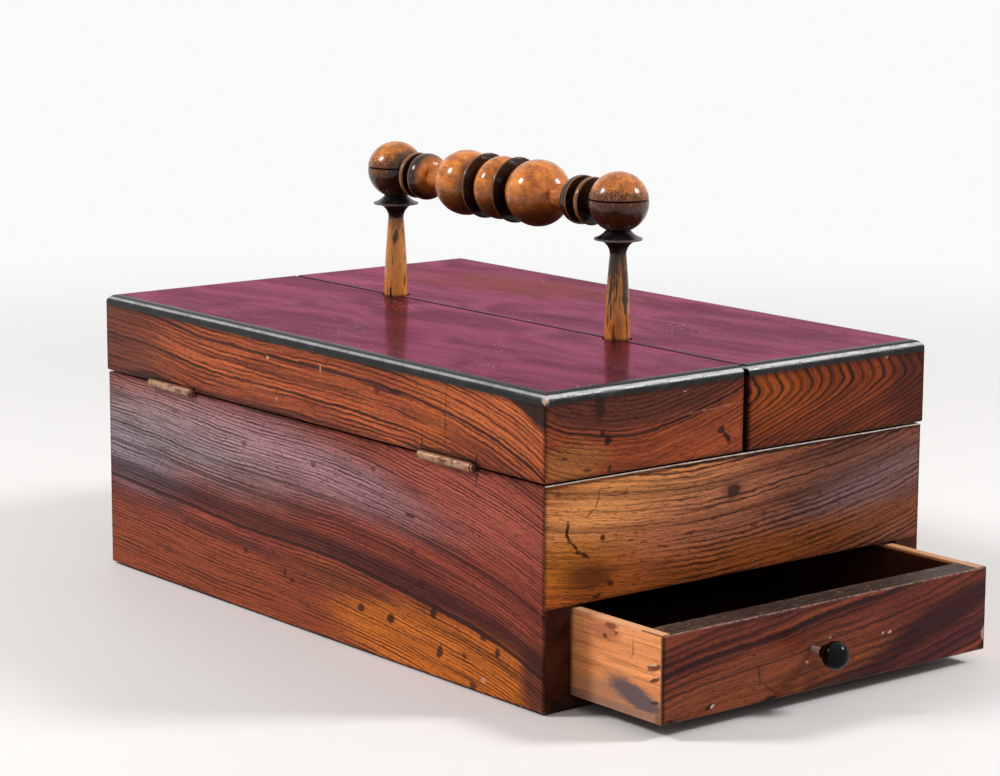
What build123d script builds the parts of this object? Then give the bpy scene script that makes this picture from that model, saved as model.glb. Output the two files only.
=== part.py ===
from build123d import *
import os

os.makedirs("parts", exist_ok=True)

# A table box with twin lids that hinge on its long sides, a full-width drawer at one end,
# and a turned carrying handle that stands on the partition between the lids.
# Sizes are millimetres. The origin is the middle of the underside, +X is the way the drawer
# pulls out, +Y is the right-hand lid, +Z is up.

# Case
case_length = 305.0
case_width = 200.0
case_height = 87.8            # table to the top edge of the walls
wall = 13.0                   # case walls, and the lids' outer rims above them
arris = 0.8                   # rounding of the upright corners
edge_wear = 0.45              # softened edges along the lid seam
foot_lift = 1.2               # the walls stop short of the table, the base board carries
base_thickness = 5.5
base_inset = 3.0              # base board's edge behind the wall faces
base_setback = 1.0            # base board's edge behind the drawer end
opening_top = 40.7            # underside of the panel above the drawer
dust_board_thickness = 4.5
dust_board_lap = 6.0          # how far the dust board runs under the drawer end panel
housing_depth = 3.0           # grooves that the boards are let into
partition_thickness = 11.0
seam_offset = 0.9             # the lids meet this far to the right of the middle

# Lids
lid_gap = 0.9                 # shadow line between case and lids
lid_height = 33.8
lid_overhang = 0.5
seam_gap = 2.7                # between the two lids
seam_rim_thickness = 9.0
lid_board_thickness = 8.0
edging = 4.4                  # ebonised strip round the three outer top edges
edging_radius = 4.1
post_notch_clearance = 0.8

# Butt hinges, two for each lid
hinge_length = 32.4
hinge_from_plain_end = 54.0
hinge_from_drawer_end = 57.5
knuckle_radius = 1.95
middle_knuckle = 11.0
knuckle_gap = 0.25
hinge_standoff = 1.3          # pin centre outside the wall face
leaf_thickness = 1.0
leaf_reach = 11.0             # pin centre to the leaf's inner edge
leaf_gap = 0.1                # between the two closed leaves
knuckle_relief = 0.3          # room for the knuckles in the wood
hinge_pin_radius = 0.9
pin_running_clearance = 0.05
pin_fixed_clearance = 0.01
pin_head_height = 0.6
pin_head_radius = 1.55
screw_pitch = 10.8
screw_inset = 5.6             # screw line behind the wall face
screw_head_radius = 1.7
screw_shank_radius = 0.8
screw_length = 8.0
screw_clearance = 0.03

# Handle
handle_offset = 2.1           # it stands this far to the right of the middle
post_spacing = 149.8
post_radius = 5.4
post_neck_radius = 3.4
post_swell = 0.3              # fullness of the shaft beyond a straight taper
post_tenon_radius = 3.6
post_tenon_length = 15.0
post_tenon_lead = 0.4         # chamfer at the tenon's foot
wood_clearance = 0.02         # round tenons in their bores
neck_height = 34.6            # lid top to the foot of the collar
collar_height = 10.2
collar_rim_height = 6.0       # foot of the collar to its sharp rim
collar_rim_radius = 9.9
collar_top_radius = 4.8
collar_edge = 0.7
collar_cove = 9.0             # hollow of the cone above the rim
dowel_radius = 2.0            # tenon through the collar into the ball
dowel_length = 15.0
ball_radius = 12.4
ball_rise = 11.1              # collar top to the ball's centre
ball_groove = 0.7
ball_groove_rise = 1.2        # above the ball's centre
spindle_drop = 1.2            # grip's axis below the ball centres
spindle_tenon_radius = 4.0
spindle_end = 3.2             # the tenons stop short of the ball centres
bulb_radius = 14.0
bulb_place = 24.0
disc_place = 10.0
disc_radius = 13.9
disc_thickness = 1.5
disc_flare = 0.5              # discs thicken towards the core and are rounded at the rim
bead_radius = 13.4
bead_half_length = 9.0
core_radius = 8.0             # turned down between bead, discs and bulbs
waist_radius = 5.2
bell_place = 53.2             # rim of the bell
bell_radius = 10.1
bell_length = 7.4
bell_curve = 6.5              # radius of the bell's rounded shoulder, seen from the side
end_disc_place = 58.9
end_disc_radius = 10.0
end_disc_thickness = 2.6
end_core_radius = 6.6
end_neck_radius = 5.6

# Drawer
drawer_length = 288.0
drawer_play = 1.0             # each side, between drawer and case wall
drawer_offset = 0.6           # the drawer sits over towards the right wall
drawer_lift = 0.15            # running gap over the base board
drawer_headroom = 1.45        # gap under the panel above
drawer_open = 50.3            # how far the drawer stands out
drawer_front_thickness = 12.0
drawer_wall = 4.8
drawer_bottom_thickness = 3.4
drawer_back_drop = 4.0
front_lip = 1.5               # front's face beyond the ends of the drawer sides
bottom_lip = 4.0              # front's face beyond the edge of the bottom board
front_wear = 0.6
nail_radius = 0.6
nail_length = 13.0
nail_sink = 0.3               # nail heads below the drawer side's face
nail_clearance = 0.04
nail_setback = 6.0
nail_edge = 5.5               # top and bottom nails from the side's edges
knob_offset = -10.4           # knob to the left of the drawer's middle
knob_drop = 0.3               # and below it
knob_radius = 5.5
knob_reach = 12.2             # front's face to the middle of the knob
knob_flatness = 0.94          # its length along the stem against its width
knob_shoulder = 1.6
knob_stem_radius = 1.15
knob_stem_depth = 8.0

# Places worked out from the sizes
half_length = case_length / 2
half_width = case_width / 2
base_length = case_length - base_inset - base_setback
base_width = case_width - 2 * base_inset
base_middle = (base_inset - base_setback) / 2
inner_length = case_length - 2 * wall
inner_width = case_width - 2 * wall
dust_board_top = opening_top + dust_board_thickness
lid_bottom = case_height + lid_gap
lid_top = lid_bottom + lid_height
lid_length = case_length + 2 * lid_overhang
rim_top = lid_top - edging
hinge_z = case_height + lid_gap / 2
hinge_y = half_width + hinge_standoff
hinge_places = {
    "plain_end": hinge_from_plain_end - half_length,
    "drawer_end": half_length - hinge_from_drawer_end,
}
outer_knuckle = (hinge_length - middle_knuckle) / 2 - knuckle_gap
outer_knuckle_place = (hinge_length - outer_knuckle) / 2
screw_y = half_width - screw_inset
relief_length = hinge_length + 2 * (pin_head_height + knuckle_gap)
neck_top = lid_top + neck_height
collar_top = neck_top + collar_height
ball_z = collar_top + ball_rise
spindle_z = ball_z - spindle_drop
post_places = {"plain_end": -post_spacing / 2, "drawer_end": post_spacing / 2}
drawer_face = half_length + drawer_open
drawer_rear = drawer_face - drawer_length
drawer_width = inner_width - 2 * drawer_play
drawer_floor = base_thickness + drawer_lift
drawer_height = opening_top - drawer_headroom - drawer_floor
drawer_side_z = drawer_floor + drawer_bottom_thickness
knob_y = drawer_offset + knob_offset
knob_z = drawer_floor + drawer_height / 2 - knob_drop
sides = {"left": -1, "right": 1}


def keep(piece, name):
    """Label a finished piece and write its file."""
    piece.part.label = name
    export_step(piece.part, f"parts/{name}.step")


def corner_wedge(side, drawer_end_cut):
    """Plan of a long wall: mitred at the plain end, cut back by drawer_end_cut at the other."""
    return [
        (-half_length, side * half_width),
        (half_length, side * half_width),
        (half_length - drawer_end_cut, side * (half_width - wall)),
        (-half_length + wall, side * (half_width - wall)),
    ]


def end_wedge(end):
    """Plan of an end wall, mitred at both corners."""
    return [
        (end * half_length, -half_width),
        (end * half_length, half_width),
        (end * (half_length - wall), half_width - wall),
        (end * (half_length - wall), wall - half_width),
    ]


def make_base_board():
    with BuildPart() as board:
        with BuildSketch():
            with Locations((base_middle, 0)):
                Rectangle(base_length, base_width)
        extrude(amount=base_thickness)
    return board


def make_dust_board():
    with BuildPart() as board:
        with BuildSketch(Plane.XY.offset(opening_top)):
            with Locations(((dust_board_lap - housing_depth) / 2, 0)):
                Rectangle(
                    inner_length + housing_depth + dust_board_lap,
                    inner_width + 2 * housing_depth,
                )
        extrude(amount=dust_board_thickness)
    return board


def make_partition():
    """It stands on the dust board, and its top edge is what the closed lids rest on."""
    with BuildPart() as board:
        with BuildSketch(Plane.XY.offset(dust_board_top)):
            with Locations((0, handle_offset)):
                Rectangle(inner_length + 2 * housing_depth, partition_thickness)
        extrude(amount=lid_bottom - dust_board_top)
        with Locations(Plane.XY.offset(lid_bottom)):
            with Locations(*[(x, handle_offset) for x in post_places.values()]):
                Hole(post_tenon_radius + wood_clearance, post_tenon_length + wood_clearance)
    return board


def make_hinge_room(side):
    """The room that a wall and the lid above it leave for their hinges: leaves, knuckles, screws."""
    with BuildPart() as room:
        with Locations(*[(x, side * hinge_y, hinge_z) for x in hinge_places.values()]):
            Box(hinge_length + 2 * knuckle_gap, 2 * leaf_reach, 2 * leaf_thickness + leaf_gap)
            Cylinder(knuckle_radius + knuckle_relief, relief_length, rotation=(0, 90, 0))
        with Locations(*[(x, side * screw_y, hinge_z) for x in hinge_places.values()]):
            with GridLocations(screw_pitch, 0, 3, 1):
                Cylinder(screw_shank_radius + screw_clearance, 2 * (screw_length + leaf_gap))
    return room


def make_long_wall(side):
    with BuildPart() as board:
        with BuildSketch(Plane.XY.offset(foot_lift)):
            RectangleRounded(case_length, case_width, arris)
            with BuildLine():
                Polyline(*corner_wedge(side, 0), close=True)
            make_face(mode=Mode.INTERSECT)
        extrude(amount=opening_top - foot_lift)
        with BuildSketch(Plane.XY.offset(opening_top)):
            RectangleRounded(case_length, case_width, arris)
            with BuildLine():
                Polyline(*corner_wedge(side, wall), close=True)
            make_face(mode=Mode.INTERSECT)
        extrude(amount=case_height - opening_top)
        top_edges = board.faces().sort_by(Axis.Z)[-1].edges().filter_by(Axis.X)
        chamfer(top_edges.sort_by(Axis.Y)[0 if side < 0 else -1], edge_wear)
        # rebate for the base board, open at the drawer end, and groove for the dust board
        with Locations((base_middle + base_setback / 2, 0, base_thickness / 2)):
            Box(base_length + base_setback, base_width, base_thickness, mode=Mode.SUBTRACT)
        add(dust_board.part, mode=Mode.SUBTRACT)
        add(hinge_room[side].part, mode=Mode.SUBTRACT)
    return board


def make_plain_end():
    with BuildPart() as board:
        with BuildSketch(Plane.XY.offset(foot_lift)):
            RectangleRounded(case_length, case_width, arris)
            with BuildLine():
                Polyline(*end_wedge(-1), close=True)
            make_face(mode=Mode.INTERSECT)
        extrude(amount=case_height - foot_lift)
        top_edges = board.faces().sort_by(Axis.Z)[-1].edges().filter_by(Axis.Y)
        chamfer(top_edges.sort_by(Axis.X)[0], edge_wear)
        add(base_board.part, mode=Mode.SUBTRACT)
        add(dust_board.part, mode=Mode.SUBTRACT)
        add(partition.part, mode=Mode.SUBTRACT)
    return board


def make_drawer_end_panel():
    with BuildPart() as board:
        with BuildSketch(Plane.XY.offset(opening_top)):
            RectangleRounded(case_length, case_width, arris)
            with BuildLine():
                Polyline(*end_wedge(1), close=True)
            make_face(mode=Mode.INTERSECT)
        extrude(amount=case_height - opening_top)
        top_edges = board.faces().sort_by(Axis.Z)[-1].edges().filter_by(Axis.Y)
        chamfer(top_edges.sort_by(Axis.X)[-1], edge_wear)
        add(dust_board.part, mode=Mode.SUBTRACT)
        add(partition.part, mode=Mode.SUBTRACT)
    return board


def lid_plan(side):
    """A lid's seam edge, outer face, middle and width, all along Y."""
    seam = seam_offset + side * seam_gap / 2
    face = side * (half_width + lid_overhang)
    return seam, face, (seam + face) / 2, abs(face - seam)


def mitre_points(side, member, depth):
    """Plan of one strip of a lid's border: mitred outside, square at the seam."""
    seam, face, _, _ = lid_plan(side)
    end = lid_length / 2
    inside = face - side * depth
    if member == "outer":
        return [(-end, face), (end, face), (end - depth, inside), (depth - end, inside)]
    along = end if member == "drawer_end" else -end
    back = along - depth if member == "drawer_end" else along + depth
    return [(along, face), (back, inside), (back, seam), (along, seam)]


def make_lid_rim(side, member):
    _, _, middle, width = lid_plan(side)
    with BuildPart() as rim:
        with BuildSketch(Plane.XY.offset(lid_bottom)):
            with Locations((0, middle)):
                RectangleRounded(lid_length, width, arris)
            with BuildLine():
                Polyline(*mitre_points(side, member, wall), close=True)
            make_face(mode=Mode.INTERSECT)
        extrude(amount=rim_top - lid_bottom)
        if member == "outer":
            low_edges = rim.faces().sort_by(Axis.Z)[0].edges().filter_by(Axis.X)
            chamfer(low_edges.sort_by(Axis.Y)[0 if side < 0 else -1], edge_wear)
            add(hinge_room[side].part, mode=Mode.SUBTRACT)
        else:
            low_edges = rim.faces().sort_by(Axis.Z)[0].edges().filter_by(Axis.Y)
            chamfer(low_edges.sort_by(Axis.X)[-1 if member == "drawer_end" else 0], edge_wear)
    return rim


def make_seam_rim(side):
    seam, _, _, _ = lid_plan(side)
    with BuildPart() as rim:
        with BuildSketch(Plane.XY.offset(lid_bottom)):
            with Locations((0, seam + side * seam_rim_thickness / 2)):
                Rectangle(lid_length - 2 * wall, seam_rim_thickness)
            with Locations(*[(x, handle_offset) for x in post_places.values()]):
                Circle(post_radius + post_notch_clearance, mode=Mode.SUBTRACT)
        extrude(amount=rim_top - lid_bottom)
    return rim


def make_lid_board(side):
    """The top: its border lies on the rims, and its middle drops between them."""
    seam, face, _, width = lid_plan(side)
    border_middle = (seam + face - side * edging) / 2
    drop_seam = seam + side * seam_rim_thickness
    drop_face = face - side * wall
    with BuildPart() as board:
        with BuildSketch(Plane.XY.offset(rim_top)):
            with Locations((0, border_middle)):
                Rectangle(lid_length - 2 * edging, width - edging)
        extrude(amount=edging)
        seam_edges = board.faces().sort_by(Axis.Z)[-1].edges().filter_by(Axis.X)
        chamfer(seam_edges.sort_by(Axis.Y)[-1 if side < 0 else 0], edge_wear)
        with BuildSketch(Plane.XY.offset(lid_top - lid_board_thickness)):
            with Locations((0, (drop_seam + drop_face) / 2)):
                Rectangle(lid_length - 2 * wall, abs(drop_face - drop_seam))
        extrude(amount=lid_board_thickness - edging)
        with Locations(*[(x, handle_offset, lid_top) for x in post_places.values()]):
            Cylinder(post_radius + post_notch_clearance, 2 * lid_board_thickness, mode=Mode.SUBTRACT)
    return board


def make_edging(side, member):
    """A quarter-round strip of the lid's top edge, mitred at the outer corners."""
    _, face, middle, width = lid_plan(side)
    round_start = edging - edging_radius
    if member == "outer":
        corner = (0, face, rim_top)
        section = Plane(origin=corner, x_dir=(0, -side, 0), z_dir=(-side, 0, 0))
        reach = lid_length / 2
    else:
        way = 1 if member == "drawer_end" else -1
        corner = (way * lid_length / 2, middle, rim_top)
        section = Plane(origin=corner, x_dir=(-way, 0, 0), z_dir=(0, way, 0))
        reach = width / 2
    with BuildPart() as strip:
        with BuildSketch(section):
            with BuildLine():
                Line((edging, 0), (0, 0))
                Line((0, 0), (0, round_start))
                JernArc((0, round_start), (0, 1), edging_radius, -90)
                Line((edging_radius, edging), (edging, edging))
                Line((edging, edging), (edging, 0))
            make_face()
        extrude(amount=reach, both=True)
        with BuildSketch(Plane.XY.offset(rim_top)):
            with Locations((0, middle)):
                RectangleRounded(lid_length, width, arris)
            with BuildLine():
                Polyline(*mitre_points(side, member, edging), close=True)
            make_face(mode=Mode.INTERSECT)
        extrude(amount=edging, mode=Mode.INTERSECT)
    return strip


def hinge_plate(side, x, level):
    """The flat of a leaf: level is -1 for the case's leaf and +1 for the lid's."""
    y = side * (hinge_y - leaf_reach / 2)
    z = hinge_z + level * (leaf_gap + leaf_thickness) / 2
    with BuildPart() as plate:
        with Locations((x, y, z)):
            Box(hinge_length, leaf_reach, leaf_thickness)
        corners = plate.edges().filter_by(Axis.Z).group_by(Axis.Y)[-1 if side < 0 else 0]
        chamfer(corners, edge_wear)
    return plate


def outer_knuckle_places(side, x):
    """Middles of the case leaf's two knuckles, either side of the lid leaf's one."""
    return [(x + way * outer_knuckle_place, side * hinge_y, hinge_z) for way in (-1, 1)]


def make_case_leaf(side, x):
    centre = (x, side * hinge_y, hinge_z)
    plate = hinge_plate(side, x, -1)
    with BuildPart() as leaf:
        add(plate.part)
        with Locations(*outer_knuckle_places(side, x)):
            Cylinder(knuckle_radius, outer_knuckle, rotation=(0, 90, 0))
        with Locations(centre):
            Cylinder(
                knuckle_radius + knuckle_gap,
                middle_knuckle + 2 * knuckle_gap,
                rotation=(0, 90, 0),
                mode=Mode.SUBTRACT,
            )
            Cylinder(
                hinge_pin_radius + pin_fixed_clearance,
                hinge_length,
                rotation=(0, 90, 0),
                mode=Mode.SUBTRACT,
            )
        with Locations(Plane.XY.offset(hinge_z - leaf_gap / 2)):
            with Locations((x, side * screw_y)):
                with GridLocations(screw_pitch, 0, 3, 1):
                    CounterSinkHole(
                        screw_shank_radius + screw_clearance,
                        screw_head_radius + screw_clearance,
                        leaf_thickness,
                        counter_sink_angle=90,
                    )
    return leaf


def make_lid_leaf(side, x):
    centre = (x, side * hinge_y, hinge_z)
    underside = Plane(origin=(0, 0, hinge_z + leaf_gap / 2), x_dir=(1, 0, 0), z_dir=(0, 0, -1))
    plate = hinge_plate(side, x, 1)
    with BuildPart() as leaf:
        add(plate.part)
        with Locations(centre):
            Cylinder(knuckle_radius, middle_knuckle, rotation=(0, 90, 0))
        with Locations(*outer_knuckle_places(side, x)):
            Cylinder(
                knuckle_radius + knuckle_gap,
                outer_knuckle + 2 * knuckle_gap,
                rotation=(0, 90, 0),
                mode=Mode.SUBTRACT,
            )
        with Locations(centre):
            Cylinder(
                hinge_pin_radius + pin_running_clearance,
                hinge_length,
                rotation=(0, 90, 0),
                mode=Mode.SUBTRACT,
            )
        with Locations(underside):
            with Locations((x, -side * screw_y)):
                with GridLocations(screw_pitch, 0, 3, 1):
                    CounterSinkHole(
                        screw_shank_radius + screw_clearance,
                        screw_head_radius + screw_clearance,
                        leaf_thickness,
                        counter_sink_angle=90,
                    )
    return leaf


def make_hinge_pin(side, x):
    """A plain pin with a low bevelled head at each end."""
    head_place = (hinge_length + pin_head_height) / 2
    with BuildPart() as pin:
        with Locations((x, side * hinge_y, hinge_z)):
            Cylinder(hinge_pin_radius, hinge_length, rotation=(0, 90, 0))
        with Locations(*[(x + way * head_place, side * hinge_y, hinge_z) for way in (-1, 1)]):
            Cylinder(pin_head_radius, pin_head_height, rotation=(0, 90, 0))
        rings = pin.edges().filter_by(GeomType.CIRCLE).group_by(Axis.X)
        chamfer(rings[0] + rings[-1], pin_head_height / 2)
    return pin


def make_screws(places, level):
    """Countersunk wood screws: level is -1 for those that point down, +1 for up."""
    head_depth = screw_head_radius - screw_shank_radius
    tip = screw_length - screw_shank_radius
    with BuildPart() as screw:
        with BuildSketch(Plane.XZ):
            with BuildLine():
                Polyline(
                    (0, 0),
                    (screw_head_radius, 0),
                    (screw_shank_radius, level * head_depth),
                    (screw_shank_radius, level * tip),
                    (0, level * screw_length),
                    close=True,
                )
            make_face()
        revolve(axis=Axis.Z)
    with BuildPart() as screws:
        with Locations(*places):
            add(screw.part)
    return screws


def screw_places(side, level):
    return [
        (x + step * screw_pitch, side * screw_y, hinge_z + level * leaf_gap / 2)
        for x in hinge_places.values()
        for step in (-1, 0, 1)
    ]


def make_post(x):
    """Tenoned into the partition, straight between the lids, then a full taper up to its neck."""
    half_way = ((post_radius + post_neck_radius) / 2 + post_swell, lid_top + neck_height / 2)
    with BuildPart() as post:
        with BuildSketch(Plane(origin=(x, handle_offset, 0), x_dir=(1, 0, 0), z_dir=(0, -1, 0))):
            with BuildLine():
                Polyline(
                    (post_neck_radius, neck_top),
                    (dowel_radius, neck_top),
                    (dowel_radius, neck_top + dowel_length),
                    (0, neck_top + dowel_length),
                    (0, lid_bottom - post_tenon_length),
                    (post_tenon_radius, lid_bottom - post_tenon_length),
                    (post_tenon_radius, lid_bottom),
                    (post_radius, lid_bottom),
                    (post_radius, lid_top),
                )
                ThreePointArc((post_radius, lid_top), half_way, (post_neck_radius, neck_top))
            make_face()
        revolve(axis=Axis((x, handle_offset, 0), (0, 0, 1)))
        chamfer(post.edges().filter_by(GeomType.CIRCLE).group_by(Axis.Z)[0], post_tenon_lead)
    return post


def make_collar(x):
    """Flares from the post's neck to a sharp rim and closes in a hollow cone under the ball."""
    bore = dowel_radius + wood_clearance
    rim = neck_top + collar_rim_height
    rim_upper = rim + collar_edge
    with BuildPart() as collar:
        with BuildSketch(Plane(origin=(x, handle_offset, 0), x_dir=(1, 0, 0), z_dir=(0, -1, 0))):
            with BuildLine():
                Line((bore, neck_top), (post_neck_radius, neck_top))
                TangentArc((post_neck_radius, neck_top), (collar_rim_radius, rim), tangent=(0, 1))
                Line((collar_rim_radius, rim), (collar_rim_radius, rim_upper))
                RadiusArc((collar_rim_radius, rim_upper), (collar_top_radius, collar_top), collar_cove)
                Line((collar_top_radius, collar_top), (bore, collar_top))
                Line((bore, collar_top), (bore, neck_top))
            make_face()
        revolve(axis=Axis((x, handle_offset, 0), (0, 0, 1)))
    return collar


def make_ball(x):
    """Scored just above its middle, flat on the collar, bored for the post and the grip."""
    inward = -1 if x > 0 else 1
    with BuildPart() as ball:
        with Locations((x, handle_offset, ball_z)):
            Sphere(ball_radius)
        with BuildSketch(Plane(origin=(x, handle_offset, ball_z), x_dir=(1, 0, 0), z_dir=(0, -1, 0))):
            with BuildLine():
                Polyline(
                    (ball_radius - ball_groove, ball_groove_rise),
                    (ball_radius + ball_groove, ball_groove_rise + ball_groove),
                    (ball_radius + ball_groove, ball_groove_rise - ball_groove),
                    close=True,
                )
            make_face()
        revolve(axis=Axis((x, handle_offset, 0), (0, 0, 1)), mode=Mode.SUBTRACT)
        split(bisect_by=Plane.XY.offset(collar_top), keep=Keep.TOP)
        with Locations(Plane(origin=(x, handle_offset, collar_top), x_dir=(1, 0, 0), z_dir=(0, 0, -1))):
            Hole(dowel_radius + wood_clearance, neck_top + dowel_length + wood_clearance - collar_top)
        with Locations((x + inward * ball_radius, handle_offset, spindle_z)):
            Cylinder(
                spindle_tenon_radius + wood_clearance,
                2 * (ball_radius - spindle_end + wood_clearance),
                rotation=(0, 90, 0),
                mode=Mode.SUBTRACT,
            )
    return ball


def make_spindle():
    """The grip, turned from one stick: bead, discs, bulbs and bells, the same both ways."""
    end = post_spacing / 2 - spindle_end
    shoulder = post_spacing / 2 - ball_radius - wood_clearance
    bulb_in = bulb_place - (bulb_radius**2 - core_radius**2) ** 0.5
    bulb_out = bulb_place + (bulb_radius**2 - waist_radius**2) ** 0.5
    bead_edge = bead_half_length * (1 - (core_radius / bead_radius) ** 2) ** 0.5
    bell_foot = bell_place - bell_length
    disc_in = disc_place - disc_thickness / 2
    disc_out = disc_place + disc_thickness / 2
    disc_rim = disc_radius - disc_flare
    end_disc_in = end_disc_place - end_disc_thickness / 2
    end_disc_out = end_disc_place + end_disc_thickness / 2
    end_rim = end_disc_radius - disc_flare
    end_disc_crown = (end_disc_place, end_disc_radius)
    with BuildPart() as grip:
        with BuildSketch(Plane(origin=(0, handle_offset, spindle_z), x_dir=(1, 0, 0), z_dir=(0, -1, 0))):
            with BuildLine():
                TangentArc((0, bead_radius), (bead_edge, core_radius), tangent=(1, 0))
                Line((bead_edge, core_radius), (disc_in - disc_flare, core_radius))
                Line((disc_in - disc_flare, core_radius), (disc_in, disc_rim))
                ThreePointArc((disc_in, disc_rim), (disc_place, disc_radius), (disc_out, disc_rim))
                Line((disc_out, disc_rim), (disc_out + disc_flare, core_radius))
                Line((disc_out + disc_flare, core_radius), (bulb_in, core_radius))
                ThreePointArc((bulb_in, core_radius), (bulb_place, bulb_radius), (bulb_out, waist_radius))
                Line((bulb_out, waist_radius), (bell_foot, waist_radius))
                RadiusArc((bell_foot, waist_radius), (bell_place, bell_radius), bell_curve)
                Line((bell_place, bell_radius), (bell_place, end_core_radius))
                Line((bell_place, end_core_radius), (end_disc_in, end_core_radius))
                Line((end_disc_in, end_core_radius), (end_disc_in, end_rim))
                ThreePointArc((end_disc_in, end_rim), end_disc_crown, (end_disc_out, end_rim))
                Line((end_disc_out, end_rim), (end_disc_out, end_neck_radius))
                Line((end_disc_out, end_neck_radius), (shoulder, end_neck_radius))
                Line((shoulder, end_neck_radius), (shoulder, spindle_tenon_radius))
                Line((shoulder, spindle_tenon_radius), (end, spindle_tenon_radius))
                Line((end, spindle_tenon_radius), (end, 0))
                Line((end, 0), (0, 0))
                Line((0, 0), (0, bead_radius))
            make_face()
            mirror(about=Plane.YZ)
        revolve(axis=Axis((0, handle_offset, spindle_z), (1, 0, 0)))
    return grip


def nail_places(x, low, high, count):
    """Nail heads up both drawer sides, at one distance from the front."""
    pitch = (high - low) / (count - 1)
    return [
        (x, drawer_offset + way * (drawer_width / 2 - nail_sink), low + step * pitch)
        for way in (-1, 1)
        for step in range(count)
    ]


def drawer_nail_places():
    low = drawer_side_z + nail_edge
    top = drawer_floor + drawer_height
    back_top = top - drawer_back_drop
    front = nail_places(drawer_face - nail_setback, low, top - nail_edge, 3)
    rear = nail_places(drawer_rear + drawer_wall / 2, low, back_top - nail_edge, 2)
    return front + rear


def make_nails(radius, depth):
    """Every drawer nail, driven inward from the side faces; also the tool for their holes."""
    with BuildPart() as nails:
        for x, y, z in drawer_nail_places():
            way = 1 if y > drawer_offset else -1
            with Locations((x, y - way * depth / 2, z)):
                Cylinder(radius, depth, rotation=(90, 0, 0))
    return nails


def make_drawer_front():
    with BuildPart() as front:
        with BuildSketch(Plane.XY.offset(drawer_floor)):
            with Locations((drawer_face - drawer_front_thickness / 2, drawer_offset)):
                Rectangle(drawer_front_thickness, drawer_width)
        extrude(amount=drawer_height)
        chamfer(front.faces().sort_by(Axis.X)[-1].edges(), front_wear)
        add(drawer_left_side.part, mode=Mode.SUBTRACT)
        add(drawer_right_side.part, mode=Mode.SUBTRACT)
        add(drawer_bottom.part, mode=Mode.SUBTRACT)
        add(nail_holes.part, mode=Mode.SUBTRACT)
        with Locations(Plane(origin=(drawer_face, knob_y, knob_z), x_dir=(0, 1, 0), z_dir=(1, 0, 0))):
            Hole(knob_stem_radius + wood_clearance, knob_stem_depth + wood_clearance)
    return front


def make_drawer_side(side):
    length = drawer_length - front_lip
    y = drawer_offset + side * (drawer_width - drawer_wall) / 2
    with BuildPart() as board:
        with BuildSketch(Plane.XY.offset(drawer_side_z)):
            with Locations((drawer_rear + length / 2, y)):
                Rectangle(length, drawer_wall)
        extrude(amount=drawer_height - drawer_bottom_thickness)
        top_edges = board.faces().sort_by(Axis.Z)[-1].edges().filter_by(Axis.X)
        chamfer(top_edges, edge_wear)
        add(nail_holes.part, mode=Mode.SUBTRACT)
    return board


def make_drawer_back():
    with BuildPart() as board:
        with BuildSketch(Plane.XY.offset(drawer_side_z)):
            with Locations((drawer_rear + drawer_wall / 2, drawer_offset)):
                Rectangle(drawer_wall, drawer_width - 2 * drawer_wall)
        extrude(amount=drawer_height - drawer_bottom_thickness - drawer_back_drop)
        add(nail_holes.part, mode=Mode.SUBTRACT)
    return board


def make_drawer_bottom():
    length = drawer_length - bottom_lip
    with BuildPart() as board:
        with BuildSketch(Plane.XY.offset(drawer_floor)):
            with Locations((drawer_rear + length / 2, drawer_offset)):
                Rectangle(length, drawer_width)
        extrude(amount=drawer_bottom_thickness)
    return board


def make_knob():
    """A small turned knob: a flattened ball with a low shoulder where the stem enters."""
    half_knob = knob_radius * knob_flatness
    back = knob_reach - half_knob
    knob_plan = Plane(origin=(drawer_face, knob_y, knob_z), x_dir=(1, 0, 0), z_dir=(0, -1, 0))
    with BuildPart() as knob:
        with BuildSketch(knob_plan):
            with Locations((knob_reach, 0)):
                Ellipse(half_knob, knob_radius)
            with Locations((back, 0)):
                Rectangle(knob_shoulder, knob_radius)
            # only the half above the stem's axis is revolved
            with Locations((back - knob_shoulder, 0)):
                Rectangle(
                    2 * (half_knob + knob_shoulder),
                    knob_radius,
                    align=(Align.MIN, Align.MAX),
                    mode=Mode.SUBTRACT,
                )
        revolve(axis=Axis((drawer_face, knob_y, knob_z), (1, 0, 0)))
        with Locations((drawer_face + back, knob_y, knob_z)):
            Cylinder(
                knob_stem_radius + wood_clearance,
                2 * (knob_reach - back),
                rotation=(0, 90, 0),
                mode=Mode.SUBTRACT,
            )
    return knob


def make_knob_stem():
    with BuildPart() as stem:
        with Locations((drawer_face + (knob_reach - knob_stem_depth) / 2, knob_y, knob_z)):
            Cylinder(knob_stem_radius, knob_reach + knob_stem_depth, rotation=(0, 90, 0))
    return stem


# Case
base_board = make_base_board()
keep(base_board, "base_board")
dust_board = make_dust_board()
keep(dust_board, "dust_board")
partition = make_partition()
keep(partition, "partition")
keep(make_plain_end(), "plain_end")
keep(make_drawer_end_panel(), "drawer_end_panel")
hinge_room = {side: make_hinge_room(side) for side in sides.values()}
for hand, side in sides.items():
    keep(make_long_wall(side), f"{hand}_wall")

# Lids
for hand, side in sides.items():
    keep(make_lid_board(side), f"{hand}_lid_board")
    keep(make_seam_rim(side), f"{hand}_lid_seam_rim")
    for member in ("outer", "drawer_end", "plain_end"):
        keep(make_lid_rim(side, member), f"{hand}_lid_{member}_rim")
        keep(make_edging(side, member), f"{hand}_lid_{member}_edging")

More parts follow.
